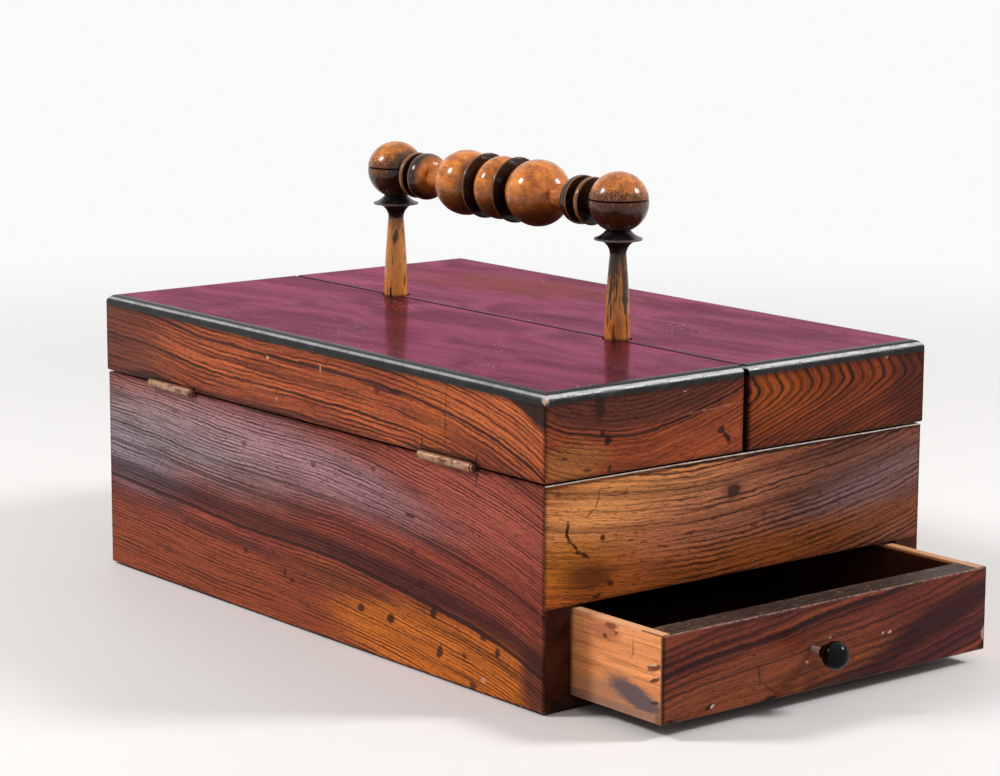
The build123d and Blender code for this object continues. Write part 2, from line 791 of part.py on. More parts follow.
# Hinges
case_screw_places = []
for hand, side in sides.items():
    for end, x in hinge_places.items():
        keep(make_case_leaf(side, x), f"{hand}_{end}_hinge_case_leaf")
        keep(make_lid_leaf(side, x), f"{hand}_{end}_hinge_lid_leaf")
        keep(make_hinge_pin(side, x), f"{hand}_{end}_hinge_pin")
    case_screw_places += screw_places(side, -1)
    keep(make_screws(screw_places(side, 1), 1), f"{hand}_lid_screws")
keep(make_screws(case_screw_places, -1), "case_screws")

# Handle
for end, x in post_places.items():
    keep(make_post(x), f"{end}_post")
    keep(make_collar(x), f"{end}_collar")
    keep(make_ball(x), f"{end}_ball")
keep(make_spindle(), "handle_spindle")

# Drawer
nail_holes = make_nails(nail_radius + nail_clearance, nail_length)
keep(make_nails(nail_radius, nail_length), "drawer_nails")
drawer_left_side = make_drawer_side(-1)
keep(drawer_left_side, "drawer_left_side")
drawer_right_side = make_drawer_side(1)
keep(drawer_right_side, "drawer_right_side")
drawer_bottom = make_drawer_bottom()
keep(drawer_bottom, "drawer_bottom")
keep(make_drawer_front(), "drawer_front")
keep(make_drawer_back(), "drawer_back")
keep(make_knob(), "knob")
keep(make_knob_stem(), "knob_stem")
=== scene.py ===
import math

import bpy
from mathutils import Matrix, Vector


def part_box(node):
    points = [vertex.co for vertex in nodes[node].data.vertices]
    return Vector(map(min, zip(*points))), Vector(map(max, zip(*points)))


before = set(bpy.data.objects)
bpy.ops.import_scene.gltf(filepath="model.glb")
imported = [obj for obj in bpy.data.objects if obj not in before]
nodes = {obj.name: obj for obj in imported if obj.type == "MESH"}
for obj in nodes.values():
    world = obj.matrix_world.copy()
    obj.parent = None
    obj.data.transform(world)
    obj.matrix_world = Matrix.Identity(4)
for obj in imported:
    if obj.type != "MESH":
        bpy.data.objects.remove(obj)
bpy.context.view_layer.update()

mm = 0.001
hands = {"left": -1, "right": 1}
sideMembers = ("outer", "drawer_end", "plain_end")

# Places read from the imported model, in millimetres
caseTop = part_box("left_wall")[1].z / mm
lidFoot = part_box("left_lid_outer_rim")[0].z / mm
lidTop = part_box("left_lid_board")[1].z / mm
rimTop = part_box("left_lid_outer_rim")[1].z / mm
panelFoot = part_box("drawer_end_panel")[0].z / mm
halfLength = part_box("right_wall")[1].x / mm
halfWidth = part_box("right_wall")[1].y / mm
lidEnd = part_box("left_lid_outer_edging")[1].x / mm
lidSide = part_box("right_lid_outer_edging")[1].y / mm
seam = (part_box("left_lid_seam_rim")[1].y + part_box("right_lid_seam_rim")[0].y) / 2 / mm
seamHalf = 1.3
gripLine = (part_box("handle_spindle")[0].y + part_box("handle_spindle")[1].y) / 2 / mm
gripHeight = (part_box("handle_spindle")[0].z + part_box("handle_spindle")[1].z) / 2 / mm
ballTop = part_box("drawer_end_ball")[1].z / mm
drawerLow, drawerHigh = [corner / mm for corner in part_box("drawer_front")]


# Camera, at the photograph's angle
cameraLook = {
    "place": (977.98, -786.31, 322.75),     # mm
    "azimuth": 51.15, "elevation": 10.45, "roll": 0.28,      # degrees
    "lens": 107.47,
}


def addCamera():
    turn = math.radians(cameraLook["azimuth"])
    rise = math.radians(cameraLook["elevation"])
    roll = math.radians(cameraLook["roll"])
    back = Vector((math.sin(turn) * math.cos(rise), -math.cos(turn) * math.cos(rise), math.sin(rise)))
    level = (-back).cross(Vector((0, 0, 1))).normalized()
    plumb = level.cross(-back)
    right = math.cos(roll) * level + math.sin(roll) * plumb
    up = math.cos(roll) * plumb - math.sin(roll) * level
    data = bpy.data.cameras.new("mainCamera")
    data.lens = cameraLook["lens"]
    data.sensor_width = 36
    data.clip_start = 0.01
    data.clip_end = 30
    camera = bpy.data.objects.new("mainCamera", data)
    bpy.context.scene.collection.objects.link(camera)
    place = Matrix.Translation(Vector(cameraLook["place"]) * mm)
    camera.matrix_world = place @ Matrix((right, up, back)).transposed().to_4x4()
    bpy.context.scene.camera = camera
    print("camera set")


addCamera()
bpy.context.scene.view_settings.view_transform = "Standard"


# Shader helpers
class Wire:      # one output of a node tree, so that a sum of nodes reads like a plain sum
    def __init__(self, tree, socket):
        self.tree = tree
        self.socket = socket

    def math(self, operation, *others):
        node = self.tree.nodes.new("ShaderNodeMath")
        node.operation = operation
        for inlet, value in zip(node.inputs, (self, *others)):
            plug(self.tree, inlet, value)
        return Wire(self.tree, node.outputs[0])

    def __add__(self, other):
        return self.math("ADD", other)

    def __sub__(self, other):
        return self.math("SUBTRACT", other)

    def __mul__(self, other):
        return self.math("MULTIPLY", other)

    def __truediv__(self, other):
        return self.math("DIVIDE", other)

    def away(self):      # the size of it, whatever its sign
        return self.math("ABSOLUTE")

    def least(self, other):
        return self.math("MINIMUM", other)

    def most(self, other):
        return self.math("MAXIMUM", other)

    def power(self, exponent):
        return self.math("POWER", exponent)


def plug(tree, inlet, value):
    if isinstance(value, Wire):
        tree.links.new(value.socket, inlet)
    else:
        inlet.default_value = tone(value) if isinstance(value, str) else value


def tone(hexText):      # a colour as the picker shows it
    channels = [int(hexText[i:i + 2], 16) / 255 for i in (0, 2, 4)]
    linear = [c / 12.92 if c <= 0.04045 else ((c + 0.055) / 1.055) ** 2.4 for c in channels]
    return (*linear, 1.0)


def ease(wire, low, high, atLow=0.0, atHigh=1.0):      # soft step between two values
    node = wire.tree.nodes.new("ShaderNodeMapRange")
    node.interpolation_type = "SMOOTHSTEP"
    for inlet, value in zip(node.inputs, (wire, low, high, atLow, atHigh)):
        plug(wire.tree, inlet, value)
    return Wire(wire.tree, node.outputs[0])


def reach(first, *others):      # how far a point lies from where all of them are nought
    total = first.power(2)
    for other in others:
        total = total + other.power(2)
    return total.power(0.5)


def treeOf(*values):      # values may be plain numbers or texts among wires
    return next(value.tree for value in values if isinstance(value, Wire))


def point(x, y, z):
    tree = treeOf(x, y, z)
    node = tree.nodes.new("ShaderNodeCombineXYZ")
    for inlet, value in zip(node.inputs, (x, y, z)):
        plug(tree, inlet, value)
    return Wire(tree, node.outputs[0])


def cloud(x, y, z, detail=2.0, rough=0.5):
    where = point(x, y, z)
    node = where.tree.nodes.new("ShaderNodeTexNoise")
    plug(where.tree, node.inputs["Vector"], where)
    node.inputs["Scale"].default_value = 1.0
    node.inputs["Detail"].default_value = detail
    node.inputs["Roughness"].default_value = rough
    return Wire(where.tree, node.outputs[0])


def grit(here, size, detail=2.0, rough=0.5):      # as fine in every direction
    return cloud(*[here[axis] / size for axis in "xyz"], detail, rough)


def blendTone(amount, under, over):      # a colour is a wire or a hex text
    tree = treeOf(amount, under, over)
    node = tree.nodes.new("ShaderNodeMix")
    node.data_type = "RGBA"
    plug(tree, node.inputs[0], amount)
    plug(tree, node.inputs[6], under)
    plug(tree, node.inputs[7], over)
    return Wire(tree, node.outputs[2])


def startMaterial(name):
    material = bpy.data.materials.new(name)
    material.use_nodes = True
    tree = material.node_tree
    tree.nodes.clear()
    coordinates = tree.nodes.new("ShaderNodeTexCoord")
    split = tree.nodes.new("ShaderNodeSeparateXYZ")
    tree.links.new(coordinates.outputs["Object"], split.inputs[0])
    here = {axis: Wire(tree, split.outputs[i]) / mm for i, axis in enumerate("xyz")}      # the point
    return material, here


def endMaterial(material, colour, rough, height, polish):
    tree = material.node_tree
    shader = tree.nodes.new("ShaderNodeBsdfPrincipled")
    plug(tree, shader.inputs["Base Color"], colour)
    plug(tree, shader.inputs["Roughness"], rough)
    for name in ("Metallic", "Specular IOR Level", "Specular Tint", "Coat Weight", "Coat Roughness"):
        if name in polish:
            shader.inputs[name].default_value = polish[name]
    bump = tree.nodes.new("ShaderNodeBump")
    bump.inputs["Strength"].default_value = 1.0
    bump.inputs["Distance"].default_value = polish["relief"] * mm
    plug(tree, bump.inputs["Height"], height)
    tree.links.new(bump.outputs[0], shader.inputs["Normal"])
    if "Coat Weight" in polish:
        tree.links.new(bump.outputs[0], shader.inputs["Coat Normal"])
    output = tree.nodes.new("ShaderNodeOutputMaterial")
    tree.links.new(shader.outputs[0], output.inputs[0])
    return material


# Wood. All lengths are millimetres on the object itself
def grainPath(wire, points):      # one grain line's height along a face, through a few points
    node = wire.tree.nodes.new("ShaderNodeFloatCurve")
    curve = node.mapping.curves[0]
    first, last = points[0][0], points[-1][0]
    low = min(height for _, height in points)
    tall = max(height for _, height in points) - low
    curve.points[0].location = (0, (points[0][1] - low) / tall)
    curve.points[1].location = (1, (points[-1][1] - low) / tall)
    for along, height in points[1:-1]:
        curve.points.new((along - first) / (last - first), (height - low) / tall)
    node.mapping.update()
    plug(wire.tree, node.inputs["Value"], (wire - first) / (last - first))
    return Wire(wire.tree, node.outputs[0]) * tall + low


def veneer(here, look):
    along = here[look["along"]]
    up = here[look["up"]]
    seed = look["seed"]
    drift = cloud(along / 75, up / 30, seed, detail=2) - 0.5
    ripple = cloud(along / 15, up / 6, seed + 3, detail=2) - 0.5
    wander = drift * look["drift"] + ripple * look["ripple"]
    if look.get("upright"):      # grain lines that stand rather than lie
        across = along - grainPath(up, look["path"]) + wander
        alongGrain = up
    else:
        across = up - grainPath(along, look["path"]) + wander
        alongGrain = along
    # dark growth lines, unevenly spaced, coming and going along the grain
    shake = cloud(along / 5, up / 1.8, seed + 5, detail=3, rough=0.6) - 0.5
    across = across + shake * look.get("shake", 1.0)
    crowding = cloud(across / 8, alongGrain / 240, seed + 7, detail=3) - 0.5
    phase = across * (2 * math.pi / look["pitch"]) + crowding * look["crowding"]
    faint = look.get("faint", 0.2)
    presence = ease(cloud(alongGrain / 50, across / 3.2, seed + 11, detail=3), 0.34, 0.6, faint, 1)
    line = ((phase.math("SINE") + 1) / 2).power(look["sharp"]) * presence
    thin = (((phase * 2.3 + shake * 3).math("SINE") + 1) / 2).power(3) * ease(presence, 1, 0.2, 0.3, 0.75)
    streak = cloud(alongGrain / 30, across / 0.7, seed + 13, detail=4, rough=0.62)
    broad = cloud(alongGrain / 130, across / 10, seed + 17, detail=2)
    pore = ease(cloud(alongGrain / 3.2, across / 0.3, seed + 19, detail=1), 0.6, 0.68)
    colour = blendTone(ease(broad, 0.36, 0.64), look["light"], look["deep"])
    colour = blendTone(ease(streak, 0.5, 0.26) * 0.45, colour, look["bright"])
    dot = point(along + ripple * 5, up + (streak - 0.5) * 3 + shake * 1.6, 0)
    for zone in look.get("zones", ()):      # broad changes of colour, under the lines
        colour = blendTone(patch(dot, zone), colour, zone["tone"])
    colour = blendTone(ease(streak, 0.44, 0.7) * 0.7, colour, look["shade"])
    for place, half, amount in look.get("bands", ()):      # dark bands that follow the grain
        band = ease((across - place).away() + (streak - 0.5) * half, half, half * 0.35, 0, amount)
        colour = blendTone(band, colour, look["band"])
    if "calm" in look:
        line = line * ease(patch(dot, look["calm"]), 0, 1, 1, 0.35)
    lines = line.most(thin * look.get("thin", 0.6)) * look["lineDepth"]
    colour = blendTone(lines, colour, look["line"])
    colour = blendTone(pore * 0.7, colour, look["line"])
    for mark in look.get("marks", ()):      # knots, stains, chips and scratches, over the lines
        colour = blendTone(patch(dot, mark), colour, mark["tone"])
    height = streak * 0.25 - line * 0.35 - pore
    scuff = cloud(along / 7, up / 7, seed + 23, detail=4, rough=0.7)
    return colour, height, ease(scuff, 0.35, 0.75, look["gloss"], look["gloss"] + 0.16)


def patch(dot, mark):      # soft-edged ellipse
    tree = dot.tree
    turned = tree.nodes.new("ShaderNodeMapping")
    turned.vector_type = "TEXTURE"
    plug(tree, turned.inputs["Vector"], dot)
    turned.inputs["Location"].default_value = (*mark["at"], 0)
    turned.inputs["Rotation"].default_value = (0, 0, math.radians(mark.get("turn", 0)))
    turned.inputs["Scale"].default_value = (*mark["size"], 1)
    length = tree.nodes.new("ShaderNodeVectorMath")
    length.operation = "LENGTH"
    tree.links.new(turned.outputs[0], length.inputs[0])
    soft = mark.get("soft", 0.35)
    return ease(Wire(tree, length.outputs["Value"]), 1 + soft, 1 - soft, 0, mark.get("amount", 1))


def plainWood(here, look):      # solid wood, its grain along one axis
    order = {"x": "xyz", "y": "yxz", "z": "zxy"}[look["along"]]
    along, across, through = [here[axis] for axis in order]
    seed = look["seed"]
    fibre = cloud(along / 38, across / 1.1 + seed, through / 1.1, detail=4, rough=0.6)
    rings = cloud(along / 190, across / 11 + seed, through / 11, detail=2)
    pore = ease(cloud(along / 2.6, across / 0.28, through / 0.28 + seed, detail=1), 0.62, 0.74)
    colour = blendTone(ease(rings, 0.35, 0.65), look["light"], look["deep"])
    colour = blendTone(ease(fibre, 0.42, 0.72) * 0.7, colour, look["shade"])
    colour = blendTone(pore * 0.5, colour, look["line"])
    height = fibre * 0.35 - pore
    return colour, height, ease(fibre, 0.3, 0.7, look["gloss"], look["gloss"] + 0.15)


def borderWearAndHighlight(colour, rough, near, look, seedWire):      # pale edges, by the distance to them: wear on the drawer front's top edge, a painted highlight on the case's top arris
    wearAndHighlight = ease(near + seedWire * look["ragged"], look["wide"], look["wide"] * 0.2, 0, look["amount"])
    return blendTone(wearAndHighlight, colour, look["tone"]), rough + wearAndHighlight * 0.25


polishes = {      # relief in mm
    "frenchPolish": {"Specular IOR Level": 0.08, "Specular Tint": (1.0, 0.75, 0.68, 1), "relief": 0.06},
    "rubbedWood": {"Specular IOR Level": 0.12, "relief": 0.08},
    "ebonised": {"Specular IOR Level": 0.24, "relief": 0.04},
    "lidTop": {"Specular IOR Level": 0.05, "relief": 0.02},      # the rest of its shine is a reflection with a painted pink-purple tint
}

# Inside faces of the case and lids
innerLook = {"light": "4a2417", "deep": "2e130c", "shade": "1f0c08", "line": "120605", "gloss": 0.42}
veneerThickness = 0.75
veneerFade = 0.2      # over which it gives way to the wood behind

# A painted highlight: a pale line along the case's top edge above the drawer
arrisHighlight = {"tone": "e8dcd2", "wide": 0.42, "ragged": 0.45, "amount": 0.85}


def panelMaterial(name, look, inner, face):      # veneer outside, solid wood behind it
    material, here = startMaterial(name)
    axis, way, place = face
    colour, height, rough = veneer(here, look)
    grain = grit(here, 2.6, detail=3) - 0.5
    low, high = look["from"], look["to"]
    along, up = here[look["along"]], here[look["up"]]
    near = (along - low[0]).least(along * -1 + high[0]).least((up - low[1]).least(up * -1 + high[1]))
    dark = ease(near + grain * 1.5, 2.2, 0.0, 0, 0.55)      # old polish and dirt gather at the edges
    colour = blendTone(dark, colour, "1c0b08")
    # a pale top edge where the look has one: on the drawer end panel it is a painted highlight along the
    # arris
    wornAndHighlit = look.get("topWearAndHighlight")
    if wornAndHighlit:
        colour, rough = borderWearAndHighlight(colour, rough, up * -1 + high[1], wornAndHighlit, grain)
    insideColour, insideHeight, insideRough = plainWood(here, {**innerLook, **inner})
    outer = ease(here[axis] * way, place - veneerThickness - veneerFade, place - veneerThickness)
    colour = blendTone(outer, insideColour, colour)
    height = insideHeight + (height - insideHeight) * outer
    rough = insideRough + (rough - insideRough) * outer
    return endMaterial(material, colour, rough, height, polishes["frenchPolish"])


def softenEdges(node, width):      # the arrises that hands and polish have rounded
    modifiers = nodes[node].modifiers
    weld = modifiers.new("weld", "WELD")
    weld.merge_threshold = 1e-6
    bevel = modifiers.new("arris", "BEVEL")
    bevel.width = width * mm
    bevel.segments = 2
    bevel.limit_method = "ANGLE"
    bevel.angle_limit = math.radians(35)
    bevel.use_clamp_overlap = True
    shading = modifiers.new("shading", "WEIGHTED_NORMAL")
    shading.keep_sharp = True


def paint(node, material, arris=None):
    mesh = nodes[node].data
    mesh.materials.clear()
    mesh.materials.append(material)
    if arris:
        softenEdges(node, arris)


def blot(at, size, shade, amount, soft=0.35, turn=0):      # half width and height, turn in degrees
    return {"at": at, "size": size, "tone": shade, "amount": amount, "soft": soft, "turn": turn}


def spots(shade, *places):      # small blots of one colour
    return [blot(each[:2], each[2:4], shade, each[4]) for each in places]


# Case: the long face that the photograph shows, with its dark band and orange sapwood patch
leftWallLook = {
    "along": "x", "up": "z", "seed": 3.1, "from": (-halfLength, 0), "to": (halfLength, caseTop),
    "path": [(-152, 42), (-110, 40), (-60, 37), (0, 36), (40, 34), (80, 29.5), (115, 24), (152, 14)],
    "drift": 4.0, "ripple": 0.9, "pitch": 1.5, "crowding": 12.0, "sharp": 2.0, "lineDepth": 0.9,
    "light": "a64c38", "deep": "80372b", "shade": "48201c", "bright": "cc684a", "line": "1a0a0c",
    "band": "301619", "gloss": 0.24, "shake": 0.6,
    "zones": [
        # painted sheen: these three pale grey-mauve zones stand in for a soft reflection on the upper part
        blot((-138, 54), (36, 13), "908c9c", 0.8, soft=0.8, turn=-8),
        blot((-100, 67), (72, 14), "a3989c", 0.75, soft=0.8, turn=-4),
        blot((-10, 72), (84, 11), "c69fa8", 0.65, soft=0.8, turn=-5),
        blot((-70, 8), (120, 20), "a9502c", 0.85, soft=0.3, turn=-3),
        blot((95, 9), (75, 17), "e67d26", 0.9, soft=0.3, turn=-4),
        blot((18, 28), (36, 5.5), "a5522a", 0.85, soft=0.4, turn=-2),
        blot((112, 74), (52, 14), "c36250", 0.75, soft=0.7, turn=-12),
        blot((148, 12), (9, 16), "6a3226", 0.9, soft=0.5),
    ],
    "bands": [(0, 1.2, 0.92), (4.6, 5.6, 0.65), (-7, 3.0, 0.35), (16, 1.2, 0.5), (24, 0.9, 0.5)],
    "marks": [
        *spots("140a0a", (112.3, 85, 0.4, 4.5, 0.9), (116, 86.9, 5, 0.5, 0.7)),
        *spots("2a1210", (38, 18.5, 2.4, 1.7, 0.85), (57.5, 18, 2.4, 2.0, 0.9),
               (85.5, 26, 2.0, 2.4, 0.9), (89.5, 11.5, 1.7, 2.8, 0.85), (105, 13, 1.5, 1.2, 0.8),
               (110.5, 2.5, 2.0, 1.5, 0.8), (125, 18.5, 1.5, 2.0, 0.85), (117, 22.5, 1.6, 1.0, 0.8)),
        blot((116.5, 6.2), (1.6, 0.9), "c99b80", 0.8, turn=20),
        *spots("2a1210", (-45, 26, 1.8, 1.3, 0.75), (-16, 22.5, 1.0, 1.5, 0.8),
               (-10.5, 20, 2.0, 1.3, 0.7)),
        *spots("321615", (70, 62, 3.0, 1.0, 0.8), (72, 48, 2.2, 1.1, 0.6), (77, 36.5, 2.6, 1.4, 0.7),
               (-45, 72, 2.0, 1.4, 0.6), (5, 71.5, 1.8, 1.2, 0.6), (46, 76.5, 1.6, 1.2, 0.6),
               (146, 40, 2.4, 1.0, 0.6), (-90, 30, 2.2, 1.2, 0.5)),
    ],
}

# The drawer end: golden to the left, boldly lined to the right, with a round knot and old cracks
endPanelLook = {
    "along": "y", "up": "z", "seed": 11.4, "from": (-halfWidth, panelFoot), "to": (halfWidth, caseTop),
    "path": [(-100, 54), (-70, 50), (-45, 48), (-20, 47), (20, 49), (60, 54), (100, 63)],
    "drift": 3.5, "ripple": 1.5, "pitch": 2.2, "crowding": 8.0, "sharp": 1.8, "lineDepth": 0.9,
    "light": "b36545", "deep": "884832", "shade": "4c2418", "bright": "d6814f", "line": "1d0c0a",
    "band": "3a1b17", "gloss": 0.22, "shake": 1.2,
    "calm": {"at": (-78, 62), "size": (46, 26), "soft": 0.5},
    "zones": [
        blot((-88, 60), (58, 34), "c6682a", 0.92, soft=0.5),
        blot((-62, 76), (52, 13), "f3a260", 0.85, soft=0.6, turn=3),
        # painted sheen: a pale greyish zone in the middle
        blot((-16, 66), (44, 15), "ca7c5a", 0.7, soft=0.7, turn=4),
        blot((-92, 57), (26, 8), "b8701e", 0.7, soft=0.7),
        blot((-80, 50), (12, 7), "6e3a16", 0.7, soft=0.6),
        # painted sheen: these two greyish zones on the right
        blot((70, 66), (60, 26), "674338", 0.7, soft=0.5, turn=12),
        blot((74, 67), (40, 9), "94797b", 0.55, soft=0.8, turn=12),
        blot((16, 47), (74, 8), "a8581f", 0.75, soft=0.6, turn=4),
    ],
    "bands": [(31, 2.5, 0.35), (18, 2.0, 0.3)],
    "marks": [
        blot((0, 86.7), (106, 0.6), "120807", 0.8, soft=0.5),
        blot((-5, 73.5), (3.6, 2.6), "2a1614", 0.95, soft=0.3),
        blot((-5, 73.5), (6.5, 4.4), "4a2a22", 0.5, soft=0.5),
        blot((-71.5, 64.5), (1.2, 1.3), "2c130c", 0.9),
        blot((-67.5, 46.5), (2.0, 1.0), "2c130c", 0.8, turn=-20),
        blot((-74, 42.5), (2.4, 0.8), "2c130c", 0.7, turn=15),
        blot((-77, 50), (9, 3.5), "5c2d18", 0.6, soft=0.6, turn=-6),
        blot((-88.6, 69), (0.8, 4.2), "2c130c", 0.95, turn=4),
        blot((-86, 63.5), (0.6, 3.2), "2c130c", 0.9, turn=38),
        blot((-81.5, 59.5), (0.7, 3.8), "2c130c", 0.9, turn=62),
        blot((-73.8, 79.5), (0.35, 4.6), "5c2d18", 0.8, turn=-14),
        blot((-78, 74.6), (0.35, 2.6), "5c2d18", 0.7, turn=-62),
        *spots("3a1b17", (43, 66.7, 1.4, 1.0, 0.7), (32, 63, 2.0, 1.1, 0.6), (12, 62.5, 1.4, 1.0, 0.6),
               (7, 58.5, 2.2, 1.2, 0.6), (-15, 64, 0.9, 1.1, 0.7), (-28, 60, 2.4, 0.7, 0.6)),
        *spots("5c2d18", (-93, 84, 1.8, 0.9, 0.7), (-60, 80.5, 1.3, 0.8, 0.7)),
        blot((-41, 57), (3.0, 0.6), "3a1b17", 0.7, turn=-12),
    ],
}

# Faces that the photograph doesn't show, cut from the same stock
rightWallLook = {
    **leftWallLook, "seed": 21.7, "bands": [(-8, 2.4, 0.6), (12, 3.6, 0.45)],
    "path": [(-152, 30), (-90, 36), (-20, 42), (50, 40), (110, 46), (152, 55)],
    "zones": [
        blot((-80, 70), (90, 18), "a8532f", 0.7, soft=0.5, turn=5),
        blot((70, 14), (80, 16), "b5642b", 0.7, soft=0.5, turn=4),
    ],
    "marks": [
        *spots("2a1210", (-30, 24, 2.4, 1.6, 0.8), (64, 58, 2.0, 1.4, 0.8), (104, 20, 1.6, 1.4, 0.7)),
        blot((-118, 62), (3.0, 1.2), "321615", 0.6),
    ],
}
plainEndLook = {
    **endPanelLook, "seed": 31.9, "from": (-halfWidth, 0),
    "bands": [(-14, 2.6, 0.5), (22, 3.0, 0.4)],
    "path": [(-100, 50), (-50, 42), (0, 38), (50, 42), (100, 52)],
    "zones": [
        blot((30, 66), (70, 20), "b06a38", 0.7, soft=0.5),
        blot((-60, 16), (50, 18), "91502f", 0.6, soft=0.5),
    ],
    "marks": [
        blot((36, 30), (3.2, 2.4), "2a1614", 0.9),
        *spots("3a1b17", (-52, 60, 2.0, 1.4, 0.7), (70, 70, 1.4, 1.8, 0.7)),
    ],
}

casePanels = {
    "left_wall": (leftWallLook, {"along": "x", "seed": 2.2}, ("y", -1, halfWidth)),
    "right_wall": (rightWallLook, {"along": "x", "seed": 5.2}, ("y", 1, halfWidth)),
    "plain_end": (plainEndLook, {"along": "y", "seed": 7.2}, ("x", -1, halfLength)),
    "drawer_end_panel": (
        {**endPanelLook, "topWearAndHighlight": arrisHighlight}, {"along": "y", "seed": 9.2}, ("x", 1, halfLength)),
}
for node, (look, inner, face) in casePanels.items():
    paint(node, panelMaterial(node + "Veneer", look, inner, face), arris=0.3)

boardLook = {
    "along": "x", "gloss": 0.5, "light": "3b1c12", "deep": "26100a", "shade": "1a0a06", "line": "0d0504",
}


def boardMaterial(name, look):
    material, here = startMaterial(name)
    colour, height, rough = plainWood(here, look)
    return endMaterial(material, colour, rough, height, polishes["rubbedWood"])


for node, seed in (("base_board", 41.0), ("dust_board", 43.0), ("partition", 47.0)):
    paint(node, boardMaterial(node + "Wood", {**boardLook, "seed": seed}), arris=0.3)
print("case dressed")


# Lids: the left one's long face has a joint in its veneer and a dark corner
leftLidLongLook = {
    **leftWallLook, "seed": 51.3, "from": (-lidEnd, lidFoot), "to": (lidEnd, rimTop),
    "path": [(-153, 119), (-115, 117.5), (-70, 113), (0, 112), (45, 111), (75, 109), (100, 106), (130, 99),
             (153, 90)],
    "drift": 3.0, "ripple": 1.9, "pitch": 2.0, "crowding": 9.0, "sharp": 2.0, "lineDepth": 0.95,
    "light": "c96237", "deep": "9e492c", "shade": "58281a", "bright": "fb8b4b", "line": "190a09",
    "bands": [(0, 0.9, 0.9), (-13.5, 0.9, 0.75), (6.5, 0.7, 0.7), (-6.5, 0.6, 0.6)],
    "zones": [
        blot((-150, 106), (44, 30), "6e3a2b", 0.85, soft=0.6),
        blot((86, 104), (9, 20), "c9692c", 0.7, soft=0.7),
        blot((120, 110), (44, 10), "dc7440", 0.7, soft=0.6, turn=-14),
    ],
    "marks": [
        *spots("140a0a", (78.5, 92.5, 0.4, 3.6, 0.9), (112.3, 91.5, 0.4, 3.4, 0.9)),
        blot((93.2, 105), (0.35, 20), "1f0c0a", 0.55, soft=0.6),
        blot((150, 118.5), (37, 8.5), "211a1c", 0.93, soft=0.15, turn=-25),
        blot((-116, 90.5), (16, 2.4), "1c1213", 0.8, soft=0.4),
        blot((95, 90.3), (24, 1.8), "1c1213", 0.75, soft=0.5),
        blot((-40, 90), (75, 1.2), "27110f", 0.6, soft=0.6),
        blot((-27, 111.5), (0.7, 0.6), "d8b49c", 0.9),
        *spots("c89878", (10.5, 112, 0.6, 1.6, 0.6), (-20, 95, 0.8, 0.5, 0.7)),
        *spots("2c1211", (50, 108.5, 2.4, 0.9, 0.7), (62, 110, 3.0, 0.9, 0.6)),
    ],
}
leftLidEndLook = {
    **endPanelLook, "seed": 61.3, "from": (-lidSide, lidFoot), "to": (seam - seamHalf, rimTop),
    "path": [(-101, 111), (-80, 104.5), (-57, 102), (-38, 104.5), (-20, 108.5), (2, 116)],
    "drift": 2.2, "ripple": 1.3, "pitch": 1.9, "crowding": 7.0, "sharp": 1.9, "lineDepth": 0.88,
    "light": "af5430", "deep": "934428", "shade": "5c2a1a", "bright": "cf703e", "line": "180a0b",
    "faint": 0.4,
    "bands": [(0.3, 0.9, 0.8)], "calm": {"at": (-40, 94), "size": (60, 8), "soft": 0.5},
    "zones": [
        blot((-52, 124), (60, 19), "5c322a", 0.92, soft=0.2, turn=2),
        blot((-88, 95), (16, 7), "b0733c", 0.7, soft=0.5),
    ],
    "marks": [
        blot((-74, 115), (2.4, 5.5), "1d0f12", 0.75, soft=0.5),
        *spots("1d0f12", (-70, 101.3, 1.8, 1.7, 0.9), (-73, 105, 1.2, 1.0, 0.8)),
        blot((-12.3, 98.6), (1.7, 1.3), "1d0f12", 0.9, turn=-30),
        blot((-9.6, 95.4), (1.1, 2.6), "1d0f12", 0.9, turn=25),
        blot((-17, 107.8), (15, 0.16), "b58a70", 0.6, soft=0.5, turn=2),
        blot((-31, 116), (1.2, 0.25), "c9a184", 0.8, turn=25),
        blot((-69, 91), (0.9, 1.6), "2b1413", 0.8, turn=-20),
        *spots("2b1413", (-79, 91.5, 2.0, 0.7, 0.7), (-92, 97, 1.6, 0.6, 0.7)),
    ],
}
rightLidEndLook = {
    **endPanelLook, "seed": 71.9, "from": (seam + seamHalf, lidFoot), "to": (lidSide, rimTop),
    "upright": True,
    "path": [(88, -58), (92, -47), (96, -34), (101, -19), (104, -10.5), (107, -4.5), (111, 0), (116, -2.2),
             (121, -7)],
    "drift": 7.0, "ripple": 3.0, "pitch": 5.8, "crowding": 5.0, "sharp": 2.6, "lineDepth": 0.98,
    "light": "8d3d1a", "deep": "702d15", "shade": "4c2010", "bright": "a44e21", "line": "0e0504",
    "shake": 1.6, "thin": 0.2, "faint": 0.65,
    "bands": [],
    "zones": [
        blot((97, 106), (16, 30), "50201a", 0.8, soft=0.5),
        blot((16, 108), (20, 11), "b75a1e", 0.6, soft=0.7),
    ],
    "marks": [
        blot((78, 118), (1.2, 0.7), "c9a184", 0.9, turn=-20),
        blot((45, 92), (40, 1.0), "3a1d16", 0.4, soft=0.8),
    ],
}
